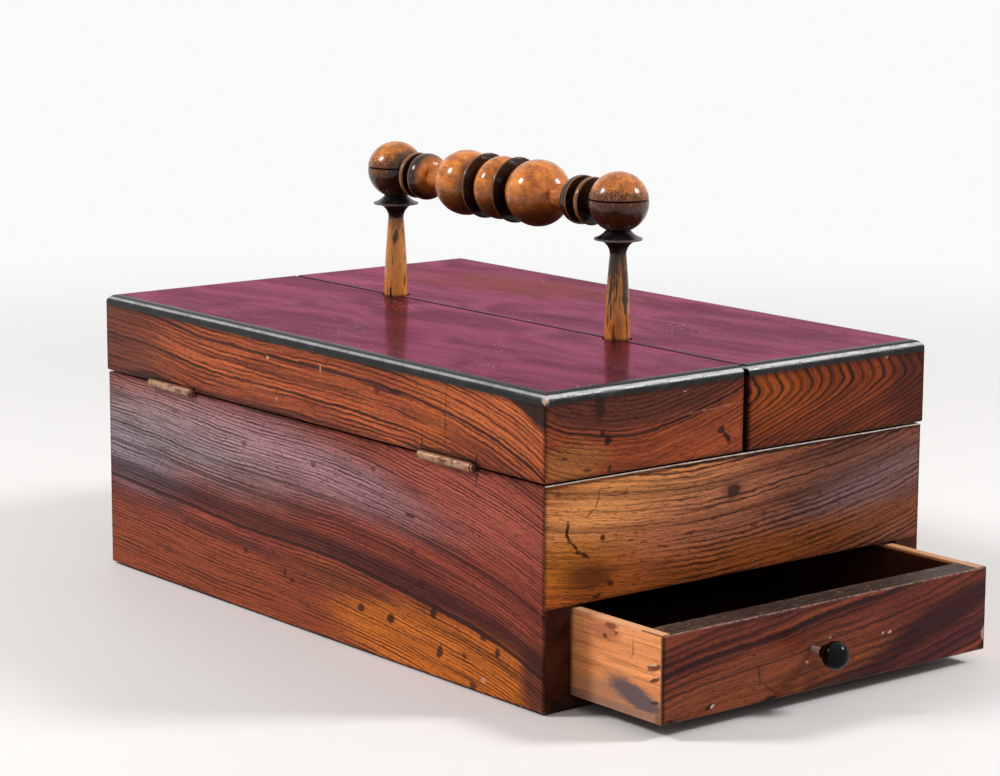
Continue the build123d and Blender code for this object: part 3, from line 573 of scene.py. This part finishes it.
lidFaceLooks = {
    "left": {
        "outer": leftLidLongLook,
        "drawer_end": leftLidEndLook,
        "plain_end": {
            **plainEndLook, "seed": 81.2, "from": (-lidSide, lidFoot), "to": (seam - seamHalf, rimTop),
            "path": [(-101, 100), (-60, 107), (-20, 104), (2, 98)], "marks": [], "zones": [],
        },
    },
    "right": {
        "outer": {
            **rightWallLook, "seed": 85.6, "from": (-lidEnd, lidFoot), "to": (lidEnd, rimTop),
            "path": [(-153, 96), (-80, 104), (0, 108), (80, 104), (153, 98)], "marks": [], "zones": [],
        },
        "drawer_end": rightLidEndLook,
        "plain_end": {
            **plainEndLook, "seed": 88.4, "from": (seam + seamHalf, lidFoot), "to": (lidSide, rimTop),
            "path": [(2, 100), (50, 110), (101, 102)], "marks": [], "zones": [],
        },
    },
}
lidFaces = {"drawer_end": ("x", 1, lidEnd), "plain_end": ("x", -1, lidEnd)}
for hand, side in hands.items():
    for number, member in enumerate(sideMembers):
        node = f"{hand}_lid_{member}_rim"
        face = lidFaces.get(member, ("y", side, lidSide))
        inner = {"along": "x" if member == "outer" else "y", "seed": 90 + number + side}
        paint(node, panelMaterial(node + "Veneer", lidFaceLooks[hand][member], inner, face), arris=0.25)
    node = f"{hand}_lid_seam_rim"
    look = {**boardLook, "gloss": 0.35, "seed": 97.0 + side}
    paint(node, boardMaterial(node + "Wood", look), arris=0.3)

# The polished tops, whose reflections carry a painted pink-purple tint
lidTopLook = {
    "along": "x", "up": "y", "seed": 101.0,
    "path": [(-152, -20), (-80, -6), (0, 0), (70, -8), (152, -26)],
    "drift": 34.0, "ripple": 5.0, "pitch": 9.0, "crowding": 9.0, "sharp": 1.4, "lineDepth": 0.45,
    "light": "542224", "deep": "3c181d", "shade": "301218", "bright": "6a2c2c", "line": "1e0b11",
    "gloss": 0.07, "sheen": ["d66794", "a4486e"], "fleck": "ecdfe2", "seam": "c9a8b0",
    "warm": blot((-62, 62), (58, 22), "c05c56", 0.8, soft=0.6, turn=10),
}


def topMaterial(name, look):
    material, here = startMaterial(name)
    colour, height, rough = veneer(here, look)
    inner, innerHeight, innerRough = plainWood(here, {**innerLook, "along": "x", "seed": look["seed"]})
    # dust and pale nicks, gathered in places
    place = cloud(here["x"] / 1.2, here["y"] / 1.2, look["seed"], detail=0)
    many = cloud(here["x"] / 30, here["y"] / 30, look["seed"] + 5, detail=2)
    fleck = ease(place + (many - 0.5) * 0.55, 0.83, 0.88)
    colour = blendTone(fleck * 0.8, colour, look["fleck"])
    # a painted highlight: a pale line along each lid's top edge at the seam
    gap = (here["y"] - seam).away()
    wearAndHighlight = ease(gap, 2.0, 1.8, 0, 0.3) * ease(gap, 1.4, 1.5)
    colour = blendTone(wearAndHighlight, colour, look["seam"])
    # broad, faint figure in the painted reflection tint, warmer towards the back
    fold = cloud(here["x"] / 60, here["y"] / 34, look["seed"] + 9, detail=1) - 0.5
    figure = cloud(here["x"] / 70 + fold * 2.4, here["y"] / 16 + fold * 3, look["seed"] + 13, detail=3)
    sheen = blendTone(ease(figure, 0.36, 0.66), *look["sheen"])
    dot = point(here["x"] + fold * 40, here["y"] + fold * 20, 0)
    sheen = blendTone(patch(dot, look["warm"]), sheen, look["warm"]["tone"])
    swell = cloud(here["x"] / 28, here["y"] / 28, look["seed"], detail=1)
    outer = ease(here["z"], lidTop - 1.0, lidTop - 0.8)
    colour = blendTone(outer, inner, colour)
    height = innerHeight + (height * 0.5 + swell * 3 + fleck - innerHeight) * outer
    endMaterial(material, colour, innerRough, height, polishes["lidTop"])
    tree = material.node_tree
    shader, bump = tree.nodes["Principled BSDF"], tree.nodes["Bump"]
    gloss = tree.nodes.new("ShaderNodeBsdfGlossy")
    plug(tree, gloss.inputs["Color"], sheen)
    plug(tree, gloss.inputs["Roughness"], rough + fleck * 0.4)
    tree.links.new(bump.outputs[0], gloss.inputs["Normal"])
    fresnel = tree.nodes.new("ShaderNodeFresnel")
    fresnel.inputs["IOR"].default_value = 1.5
    tree.links.new(bump.outputs[0], fresnel.inputs["Normal"])
    polished = tree.nodes.new("ShaderNodeMixShader")
    plug(tree, polished.inputs[0], Wire(tree, fresnel.outputs[0]) * outer)
    tree.links.new(shader.outputs[0], polished.inputs[1])
    tree.links.new(gloss.outputs[0], polished.inputs[2])
    tree.links.new(polished.outputs[0], tree.nodes["Material Output"].inputs[0])
    return material


for hand, side in hands.items():
    node = f"{hand}_lid_board"
    look = {**lidTopLook, "seed": lidTopLook["seed"] + side * 3}
    paint(node, topMaterial(node + "Polish", look), arris=0.25)

# Ebonised edging, rubbed to brown and grey where hands have been, with a painted highlight along its
# rounded top
edgingLook = {
    "black": "090709", "grey": "1a181c", "brown": "5a3626", "crest": "e4e2e4", "bare": "c9a88c",
    "gloss": 0.2, "crestDrop": 1.3, "cornerDrop": 1.8,      # drops below the lid's top
}


def ebonisedMaterial(name, look):
    material, here = startMaterial(name)
    soot = grit(here, 9, detail=4, rough=0.65)
    nick = grit(here, 1.6, detail=3, rough=0.6)
    colour = blendTone(ease(soot, 0.45, 0.75), look["black"], look["grey"])
    colour = blendTone(ease(soot * 0.5 + nick * 0.5, 0.63, 0.72), colour, look["brown"])
    fall = here["z"] - lidTop
    # a painted highlight: a pale band along the rounded top
    crest = ease((fall + look["crestDrop"]).away() + (nick - 0.5) * 0.25, 0.65, 0.2)
    crest = crest * ease(here["x"], lidEnd - 5, lidEnd - 1, 0.6, 1)      # the painted highlight is strongest on the drawer end
    colour = blendTone(crest * ease(soot, 0.3, 0.6, 0.5, 0.85), colour, look["crest"])
    # the corner next to the viewer has lost its black
    corner = reach(here["x"] - lidEnd, here["y"] + lidSide, fall + look["cornerDrop"])
    wornAndHighlit = ease(corner + (nick - 0.5) * 5, 2.7, 1.2, 0, 0.9)
    colour = blendTone(wornAndHighlit, colour, look["bare"])
    rough = ease(soot, 0.35, 0.75, look["gloss"], look["gloss"] + 0.16)
    return endMaterial(material, colour, rough, nick - ease(nick, 0.6, 0.72), polishes["ebonised"])


edgingMaterial = ebonisedMaterial("ebonisedEdging", edgingLook)
for hand in hands:
    for member in sideMembers:
        paint(f"{hand}_lid_{member}_edging", edgingMaterial)
print("lids dressed")


# Handle, turned from fruitwood and part ebonised
fruitLook = {
    "light": "ea8a34", "deep": "b66224", "shade": "5c2b0e", "spot": "1c0b06", "black": "080506",
    "bright": "ffb155", "stripe": "2c130a", "stain": "24110c", "gloss": 0.12,
}
fruitPolish = {"Specular IOR Level": 0.2, "Coat Weight": 0.3, "Coat Roughness": 0.12, "relief": 0.05}


def fruitwood(here, along, seed):
    order = {"x": "xyz", "z": "zxy"}[along]
    a, b, c = [here[axis] for axis in order]
    mottle = cloud(a / 7 + seed, b / 4, c / 4, detail=4, rough=0.62)
    fibre = cloud(a / 14 + seed, b / 0.8, c / 0.8, detail=3, rough=0.6)
    speck = cloud(a / 0.9 + seed, b / 0.55, c / 0.55, detail=1)
    colour = blendTone(ease(mottle, 0.34, 0.66), fruitLook["light"], fruitLook["deep"])
    colour = blendTone(ease(fibre, 0.48, 0.74) * 0.38, colour, fruitLook["shade"])
    colour = blendTone(ease(mottle, 0.42, 0.26) * 0.4, colour, fruitLook["bright"])
    pore = ease(speck + (mottle - 0.5) * 0.7, 0.64, 0.71)
    colour = blendTone(pore * 0.6, colour, fruitLook["spot"])
    height = fibre * 0.3 - pore
    rough = ease(mottle, 0.3, 0.7, fruitLook["gloss"], fruitLook["gloss"] + 0.14)
    return colour, height, rough, mottle


gripLook = {      # places measured from the grip's middle, radii from its axis
    "recessFrom": 6.0, "recessTo": 12.8, "stainTo": 18.5, "disc": 10, "discRim": 13.6,
    "bellFrom": 46, "bell": 53.4, "bellRim": 9.6, "endDisc": 58.9, "endRim": 9.3,
    "undersideShadeAndGrime": "3c1c0d", "wearAndHighlight": "a8682e",
}


def gripMaterial(name, look):
    material, here = startMaterial(name)
    colour, height, rough, mottle = fruitwood(here, "x", 7.0)
    out = here["x"].away()
    radius = reach(here["y"] - gripLine, here["z"] - gripHeight)
    wobble = (mottle - 0.5) * 2.2
    recess = ease(out + wobble * 0.3, look["recessFrom"], look["recessFrom"] + 1.2)
    recess = recess * ease(out + wobble, look["stainTo"], look["recessTo"])
    bell = ease(out + wobble * 0.5, look["bellFrom"], look["bellFrom"] + 4)
    discEdge = ease(radius, look["discRim"], look["discRim"] + 0.25)
    discEdge = discEdge * ease((out - look["disc"]).away(), 1.5, 1.2)
    endEdge = ease(radius, look["endRim"], look["endRim"] + 0.5)
    endEdge = endEdge * ease((out - look["endDisc"]).away(), 1.5, 0.9)
    bellEdge = ease(radius, look["bellRim"], look["bellRim"] + 0.4)
    bellEdge = bellEdge * ease((out - look["bell"]).away(), 0.9, 0.5)
    shadow = ease(here["z"] - gripHeight + wobble * 1.5, 4, -10, 0, 0.9)      # painted shade on the underside, with some grime
    colour = blendTone(shadow, colour, look["undersideShadeAndGrime"])
    colour = blendTone(recess.most(bell) * 0.96, colour, fruitLook["black"])
    # pale rims on the discs, bell and end discs: turned wood showing at the edges, with a painted
    # highlight
    pale = (discEdge * 0.6).most(endEdge).most(bellEdge)
    colour = blendTone(pale * 0.6, colour, look["wearAndHighlight"])
    return endMaterial(material, colour, rough, height, fruitPolish)


ballLook = {
    "grooveDrop": 11.2,      # below the ball's top
    "tan": "7c481e", "lower": "200c08", "inward": "1d0f0d", "smoke": "26100a", "groove": "0d0706",
}


def ballMaterial(name, x, look):
    material, here = startMaterial(name)
    colour, height, rough, mottle = fruitwood(here, "z", x)
    rise = here["z"] - (ballTop - look["grooveDrop"])
    wobble = (mottle - 0.5) * 7
    colour = blendTone(0.15 if x > 0 else 0.1, colour, look["tan"])
    lower = ease(rise + wobble, 1.5, -4.5)
    colour = blendTone(lower * 0.92, colour, look["lower"])
    inward = (here["x"] - x) * (-1 if x > 0 else 1)
    colour = blendTone(ease(inward + wobble, 5, 11) * 0.8, colour, look["inward"])
    dashes = cloud(here["x"] / 0.5, here["y"] / 0.5, here["z"] / 2.6, detail=2)
    smoke = ease(dashes + ease(rise.away(), 7.0, 0.5, 0, 0.24), 0.58, 0.66)
    colour = blendTone(smoke * 0.8, colour, look["smoke"])
    colour = blendTone(ease(rise.away(), 0.6, 0.3) * 0.9, colour, look["groove"])
    return endMaterial(material, colour, rough, height, fruitPolish)


postLooks = {      # heights above the lid's top
    "drawer_end": {"wood": "c07c36", "darkFrom": 6, "neck": 27},      # more dark stripes
    "plain_end": {"wood": "dc9648", "darkFrom": None, "neck": 27},
}


def postMaterial(name, x, look):
    material, here = startMaterial(name)
    colour, height, rough, mottle = fruitwood(here, "z", x + 40)
    rise = here["z"] - lidTop
    stripe = cloud(here["x"] / 1.7, here["y"] / 1.7, here["z"] / 16 + x, detail=3, rough=0.6)
    colour = blendTone(0.6, colour, look["wood"])
    dark = ease(rise, look["darkFrom"], 34, 0, 0.16) if look["darkFrom"] else -0.03
    colour = blendTone(ease(stripe + dark, 0.52, 0.6) * 0.92, colour, fruitLook["stripe"])
    neck = ease(rise + (mottle - 0.5) * 10, look["neck"], look["neck"] + 8) * 0.9
    foot = ease(rise, 1.2, -0.4) * 0.8
    colour = blendTone(neck, colour, fruitLook["stain"])
    colour = blendTone(foot, colour, fruitLook["stain"])
    return endMaterial(material, colour, rough, height - stripe * 0.3, fruitPolish)


collarLook = {      # heights above the collar's foot
    "black": "161114", "grey": "3a3436", "wearAndHighlight": "8c7a74", "brown": "3d1d10", "gloss": 0.18,
    "rim": 6.25, "brownFrom": 3.4, "brownTo": 0.4,
}


def collarMaterial(name, look):
    material, here = startMaterial(name)
    rise = here["z"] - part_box("drawer_end_collar")[0].z / mm
    soot = grit(here, 4, detail=4, rough=0.6)
    colour = blendTone(ease(soot, 0.45, 0.75), look["black"], look["grey"])
    # a painted highlight: a pale band round the collar's rim
    wearAndHighlight = ease((rise - look["rim"]).away() + (soot - 0.5) * 0.6, 0.7, 0.3)
    colour = blendTone(wearAndHighlight * 0.5, colour, look["wearAndHighlight"])
    under = ease(rise, look["brownFrom"], look["brownTo"])
    colour = blendTone(under * 0.7, colour, look["brown"])
    rough = ease(soot, 0.35, 0.75, look["gloss"], look["gloss"] + 0.18)
    return endMaterial(material, colour, rough, soot, polishes["ebonised"])


paint("handle_spindle", gripMaterial("turnedGrip", gripLook))
collars = collarMaterial("ebonisedCollar", collarLook)
for end in ("plain_end", "drawer_end"):
    low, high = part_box(end + "_post")
    middle = (low.x + high.x) / 2 / mm
    paint(end + "_post", postMaterial(end + "PostWood", middle, postLooks[end]))
    paint(end + "_ball", ballMaterial(end + "BallWood", middle, ballLook))
    paint(end + "_collar", collars)
print("handle dressed")


# Drawer
drawerFrontLook = {
    "along": "y", "up": "z", "seed": 111.3,
    "path": [(-87, 23.5), (-62, 27), (-30, 29.5), (0, 34), (30, 37), (60, 42), (87, 48)],
    "drift": 4.5, "ripple": 2.2, "pitch": 3.3, "crowding": 8.0, "sharp": 2.0, "lineDepth": 0.76,
    "light": "88422b", "deep": "6c2f23", "shade": "46221e", "bright": "a05535", "line": "1f0e12",
    "band": "27131a", "gloss": 0.26, "shake": 1.2, "thin": 0.3,
    "topWearAndHighlight": {"tone": "9c8474", "wide": 0.3, "ragged": 1.5, "amount": 0.7},
    "calm": {"at": (-38, 14), "size": (46, 8), "turn": 6, "soft": 0.6},
    "zones": [
        blot((-45, 14), (58, 10), "8e4c2c", 0.75, soft=0.6, turn=6),
        blot((25, 16), (16, 3.6), "8c4b26", 0.8, soft=0.5, turn=10),
        blot((62, 23), (42, 6.5), "26111a", 0.87, soft=0.4, turn=17),
        blot((70, 12), (40, 4.5), "46202a", 0.75, soft=0.5, turn=14),
        blot((10, 6.5), (30, 3.6), "2e1a1c", 0.8, soft=0.5, turn=6),
    ],
    "bands": [(0, 1.9, 0.85), (4.6, 1.0, 0.7), (9.5, 1.3, 0.6), (-9.5, 0.7, 0.5)],
    "marks": [
        blot((-32, 6.0), (3.4, 1.1), "0c0606", 0.95, turn=8),
        blot((-62, 8.6), (2.2, 1.1), "1a0d0a", 0.9, turn=5),
        blot((-61, 8.8), (1.0, 0.5), "cfae98", 0.8),
        blot((-82, 6.4), (3.0, 1.0), "1a0d0a", 0.9, turn=-12),
        blot((85.6, 12), (1.2, 2.6), "c6a48c", 0.75),
        blot((85, 7.2), (2.4, 2.0), "2a1410", 0.9, turn=40),
        blot((-37.5, 16), (0.6, 4.4), "2c1418", 0.6, soft=0.5, turn=8),
        blot((-31, 10), (0.6, 4.4), "2c1418", 0.5, soft=0.5, turn=58),
        *spots("cfae98", (-12.5, 17.5, 0.7, 0.6, 0.9), (32, 21.5, 1.0, 0.6, 0.8),
               (28, 22, 0.6, 0.5, 0.7), (0, 24.8, 0.6, 0.5, 0.8)),
        # painted shadow of the knob, below it and to its left
        blot((-9.5, 14), (6, 9), "1e0d12", 0.35, soft=0.7, turn=-10),
    ],
}
frontEdgeLook = {      # its top and back, grey with handling
    "along": "y", "seed": 131.0, "light": "604a3e", "deep": "3f302a", "shade": "271b18", "line": "140d0b",
    "gloss": 0.4, "weather": "1e1410", "wearAndHighlight": "9a8a7c", "foot": "8a5c42", "corner": "2a1614",
    "depth": 0.9,
}


def drawerFrontMaterial(name, look, edgeLook):
    material, here = startMaterial(name)
    colour, height, rough = veneer(here, look)
    grain = grit(here, 1.8, detail=3) - 0.5
    colour, rough = borderWearAndHighlight(colour, rough, here["z"] * -1 + drawerHigh.z, look["topWearAndHighlight"], grain)
    sides = (here["y"] - drawerLow.y).least(here["y"] * -1 + drawerHigh.y)
    colour = blendTone(ease(sides + grain, 1.8, 0.2, 0, 0.6), colour, edgeLook["corner"])
    edge, edgeHeight, edgeRough = plainWood(here, edgeLook)
    weather = cloud(here["x"] / 0.7, here["y"] / 7, 0.0, detail=3, rough=0.65)
    edge = blendTone(ease(weather, 0.46, 0.66) * 0.85, edge, edgeLook["weather"])
    arris = ease(here["x"] * -1 + drawerHigh.x, 3.2, 0.3, 0, 0.2)
    wearAndHighlight = ease(weather + arris, 0.4, 0.3).most(ease(grain, 0.12, 0.24))
    edge = blendTone(wearAndHighlight * 0.7, edge, edgeLook["wearAndHighlight"])
    inner, innerHeight, innerRough = plainWood(here, {**innerLook, "along": "y", "seed": 133.0})
    onTop = ease(here["z"], drawerHigh.z - edgeLook["depth"] - 0.3, drawerHigh.z - edgeLook["depth"])
    edge = blendTone(onTop, inner, edge)
    # the end of the front that shows below the drawer's side
    foot = ease((here["y"] - drawerLow.y).away(), 0.3, 0.1)
    edge = blendTone(foot, edge, edgeLook["foot"])
    outer = ease(here["x"], drawerHigh.x - edgeLook["depth"], drawerHigh.x - edgeLook["depth"] + 0.2)
    colour = blendTone(outer, edge, colour)
    height = edgeHeight + (height - edgeHeight) * outer
    rough = edgeRough + (rough - edgeRough) * outer
    return endMaterial(material, colour, rough, height, polishes["frenchPolish"])


drawerSideLook = {
    "along": "x", "seed": 121.0, "light": "fea76a", "deep": "e29058", "shade": "9c5a36", "line": "5a2c1a",
    "gloss": 0.48, "wearAndHighlight": "e3b48c", "inside": "3a190f", "sawn": 2.8,
    "marks": [      # damp stain, scrapes and bruises round the nails, on the near side alone
        blot((177.1, 12), (24, 4.0), "a4765e", 0.7, soft=0.5),
        blot((188, 13.6), (15.5, 4.4), "5d5054", 0.92, turn=-14),
        blot((170.1, 34.5), (8, 3.4), "a35f48", 0.75, soft=0.5),
        blot((174.1, 37.4), (3.0, 1.2), "6e3326", 0.8),
        *spots("5a241a", (170.6, 32.8, 1.4, 0.9, 0.85), (176.1, 35.3, 0.6, 1.0, 0.85)),
        blot((186.1, 31), (0.7, 3.4), "8e4f2c", 0.6, soft=0.6),
        blot((197.9, 26.6), (3.4, 1.3), "5f2a1e", 0.9, turn=18),
        blot((199.1, 22.4), (2.4, 0.9), "44201a", 0.9, turn=24),
        blot((198.7, 13.5), (2.0, 0.8), "3c2824", 0.9, turn=16),
        blot((197.6, 27.6), (1.4, 0.5), "e8c0a4", 0.8, turn=18),
        blot((199.7, 23.5), (1.2, 0.4), "e8c0a4", 0.8, turn=24),
    ],
}


def drawerSideMaterial(name, side, look):
    material, here = startMaterial(name)
    colour, height, rough = plainWood(here, {**look, "seed": look["seed"] + side})
    fuzz = cloud(here["x"] / 5, here["y"] / 2, here["z"] / 2, detail=3) - 0.5
    dot = point(here["x"] + fuzz * 6, here["z"] + fuzz * 2.2, 0)
    for mark in look["marks"] if side < 0 else ():
        colour = blendTone(patch(dot, mark), colour, mark["tone"])
    low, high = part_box("drawer_left_side") if side < 0 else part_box("drawer_right_side")
    wearAndHighlight = ease(here["z"] * -1 + fuzz * 1.5 + high.z / mm, 0.9, 0.2)
    colour = blendTone(wearAndHighlight * 0.6, colour, look["wearAndHighlight"])
    # dark towards the inside: unfinished wood, darkened as painted shade of the drawer's interior
    face = (low.y if side < 0 else high.y) / mm
    inside = ease((here["y"] - face).away() + fuzz, look["sawn"], look["sawn"] + 1.4)
    inside = inside * ease(here["z"], drawerHigh.z - 0.8, drawerHigh.z - 1.4)
    colour = blendTone(inside * 0.95, colour, look["inside"])
    return endMaterial(material, colour, rough, height, polishes["rubbedWood"])


paint("drawer_front", drawerFrontMaterial("drawerFrontVeneer", drawerFrontLook, frontEdgeLook), arris=0.3)
for hand, side in hands.items():
    sideWood = drawerSideMaterial(f"drawer{hand.title()}Side", side, drawerSideLook)
    paint(f"drawer_{hand}_side", sideWood, arris=0.25)
paint("drawer_back", boardMaterial("drawerBackWood", {**innerLook, "along": "y", "seed": 141.0}))
drawerBottomLook = {
    "along": "x", "seed": 143.0, "light": "ac8068", "deep": "90644e", "shade": "6c4434", "line": "3c2016",
    "gloss": 0.5, "inside": "3a2014",
}


def drawerBottomMaterial(name, look):      # pale at its edges, dark inside as painted shade of the drawer's interior
    material, here = startMaterial(name)
    colour, height, rough = plainWood(here, look)
    inward = (here["y"] - drawerLow.y).least(here["y"] * -1 + drawerHigh.y)
    colour = blendTone(ease(inward, 0.4, 1.2, 0, 0.85), colour, look["inside"])
    return endMaterial(material, colour, rough, height, polishes["rubbedWood"])


paint("drawer_bottom", drawerBottomMaterial("drawerBottomWood", drawerBottomLook), arris=0.25)


def metalMaterial(name, look):
    material, here = startMaterial(name)
    tarnish = cloud(here["x"] / 5, here["y"] / 1.6, here["z"] / 1.6, detail=4, rough=0.65)
    scratch = cloud(here["x"] / 0.5, here["y"] / 3, here["z"] / 3, detail=3)
    colour = blendTone(ease(tarnish, 0.42, 0.66), look["bright"], look["dull"])
    colour = blendTone(ease(tarnish, 0.6, 0.76), colour, look["dark"])
    rough = ease(tarnish, 0.35, 0.7, look["gloss"], look["gloss"] + 0.3)
    polish = {"Metallic": look["metal"], "relief": 0.04}
    return endMaterial(material, colour, rough, scratch + tarnish, polish)


metalLooks = {
    "agedBrass": {"bright": "b48a6c", "dull": "64443a", "dark": "1c0f0c", "gloss": 0.24, "metal": 0.9},
    "screwBrass": {"bright": "b08a58", "dull": "7a5a3a", "dark": "33241a", "gloss": 0.34, "metal": 0.85},
    "nailIron": {"bright": "4c4644", "dull": "35302f", "dark": "1b1716", "gloss": 0.5, "metal": 0.7},
    "knobStem": {"bright": "d8c8be", "dull": "a99a90", "dark": "5c4f49", "gloss": 0.3, "metal": 0.6},
}
metals = {name: metalMaterial(name, look) for name, look in metalLooks.items()}
for hand in hands:
    for end in ("plain_end", "drawer_end"):
        for piece in ("case_leaf", "lid_leaf", "pin"):
            paint(f"{hand}_{end}_hinge_{piece}", metals["agedBrass"])
    paint(f"{hand}_lid_screws", metals["screwBrass"])
paint("case_screws", metals["screwBrass"])
paint("drawer_nails", metals["nailIron"])
paint("knob_stem", metals["knobStem"])


knobLook = {"black": "070505", "smear": "1a1110", "gloss": 0.07}
knobPolish = {"Specular IOR Level": 0.1, "relief": 0.03}


def knobMaterial(name, look):
    material, here = startMaterial(name)
    smear = grit(here, 3, detail=3)
    colour = blendTone(ease(smear, 0.5, 0.8), look["black"], look["smear"])
    rough = ease(smear, 0.3, 0.8, look["gloss"], look["gloss"] + 0.13)
    return endMaterial(material, colour, rough, smear, knobPolish)


paint("knob", knobMaterial("ebonyKnob", knobLook))
print("drawer and metalwork dressed")


# Studio: pale floor, white surroundings, soft lamps
studioLook = {
    "floor": "f1efee", "floorShade": "d9d4d1", "fade": (420, 1100),      # mm from the middle
    "surround": (0.96, 0.957, 0.955, 1), "fill": (1, 0.985, 0.97, 1), "fillStrength": 0.3,
    "lamps": [
        {"name": "keyLamp", "at": (-0.62, -1.08, 1.05), "size": 0.32, "power": 16},
        {"name": "sideLamp", "at": (0.92, 0.98, 1.0), "size": 0.32, "power": 16},
    ],
    "sky": {"tilt": (-6, 26), "strength": 0.3, "spread": 80},      # degrees
}


def addStudio():
    mesh = bpy.data.meshes.new("floor")
    half = 6.0      # m
    corners = [(-half, -half, 0), (half, -half, 0), (half, half, 0), (-half, half, 0)]
    mesh.from_pydata(corners, [], [(0, 1, 2, 3)])
    floor = bpy.data.objects.new("floor", mesh)
    bpy.context.scene.collection.objects.link(floor)
    material, here = startMaterial("paleFloor")
    soft = cloud(here["x"] / 60, here["y"] / 60, 0.0, detail=2)
    colour = blendTone(soft * 0.06, studioLook["floor"], studioLook["floorShade"])
    endMaterial(material, colour, 0.6, soft, {"Specular IOR Level": 0.2, "relief": 0.1})
    mesh.materials.append(material)
    # away from the object it fades into the surroundings
    away = reach(here["x"], here["y"])
    tree = material.node_tree
    fade = tree.nodes.new("ShaderNodeMixShader")
    plug(tree, fade.inputs[0], ease(away, *studioLook["fade"]))
    tree.links.new(tree.nodes["Principled BSDF"].outputs[0], fade.inputs[1])
    tree.links.new(tree.nodes.new("ShaderNodeBsdfTransparent").outputs[0], fade.inputs[2])
    tree.links.new(fade.outputs[0], tree.nodes["Material Output"].inputs[0])

    world = bpy.data.worlds.new("studio")
    bpy.context.scene.world = world
    world.use_nodes = True
    tree = world.node_tree
    tree.nodes.clear()
    path = tree.nodes.new("ShaderNodeLightPath")
    seen = Wire(tree, path.outputs["Is Camera Ray"]).most(Wire(tree, path.outputs["Is Glossy Ray"]))
    seen = seen.most(Wire(tree, path.outputs["Is Transmission Ray"]))
    backdrop = tree.nodes.new("ShaderNodeBackground")
    backdrop.inputs[0].default_value = studioLook["surround"]
    light = tree.nodes.new("ShaderNodeBackground")
    light.inputs[0].default_value = studioLook["fill"]
    light.inputs[1].default_value = studioLook["fillStrength"]
    choose = tree.nodes.new("ShaderNodeMixShader")
    plug(tree, choose.inputs[0], seen)
    tree.links.new(light.outputs[0], choose.inputs[1])
    tree.links.new(backdrop.outputs[0], choose.inputs[2])
    output = tree.nodes.new("ShaderNodeOutputWorld")
    tree.links.new(choose.outputs[0], output.inputs[0])

    for lamp in studioLook["lamps"]:
        data = bpy.data.lights.new(lamp["name"], "AREA")
        data.size = lamp["size"]
        data.energy = lamp["power"]
        thing = bpy.data.objects.new(lamp["name"], data)
        bpy.context.scene.collection.objects.link(thing)
        thing.location = lamp["at"]
        aim = Vector((0, 0, 0.08)) - thing.location
        thing.rotation_mode = "QUATERNION"
        thing.rotation_quaternion = aim.to_track_quat("-Z", "Y")
    sky = studioLook["sky"]
    data = bpy.data.lights.new("skyLamp", "SUN")
    data.energy = sky["strength"]
    data.angle = math.radians(sky["spread"])
    thing = bpy.data.objects.new("skyLamp", data)
    bpy.context.scene.collection.objects.link(thing)
    thing.rotation_euler = (math.radians(sky["tilt"][0]), math.radians(sky["tilt"][1]), 0)
    print("studio lit")


addStudio()
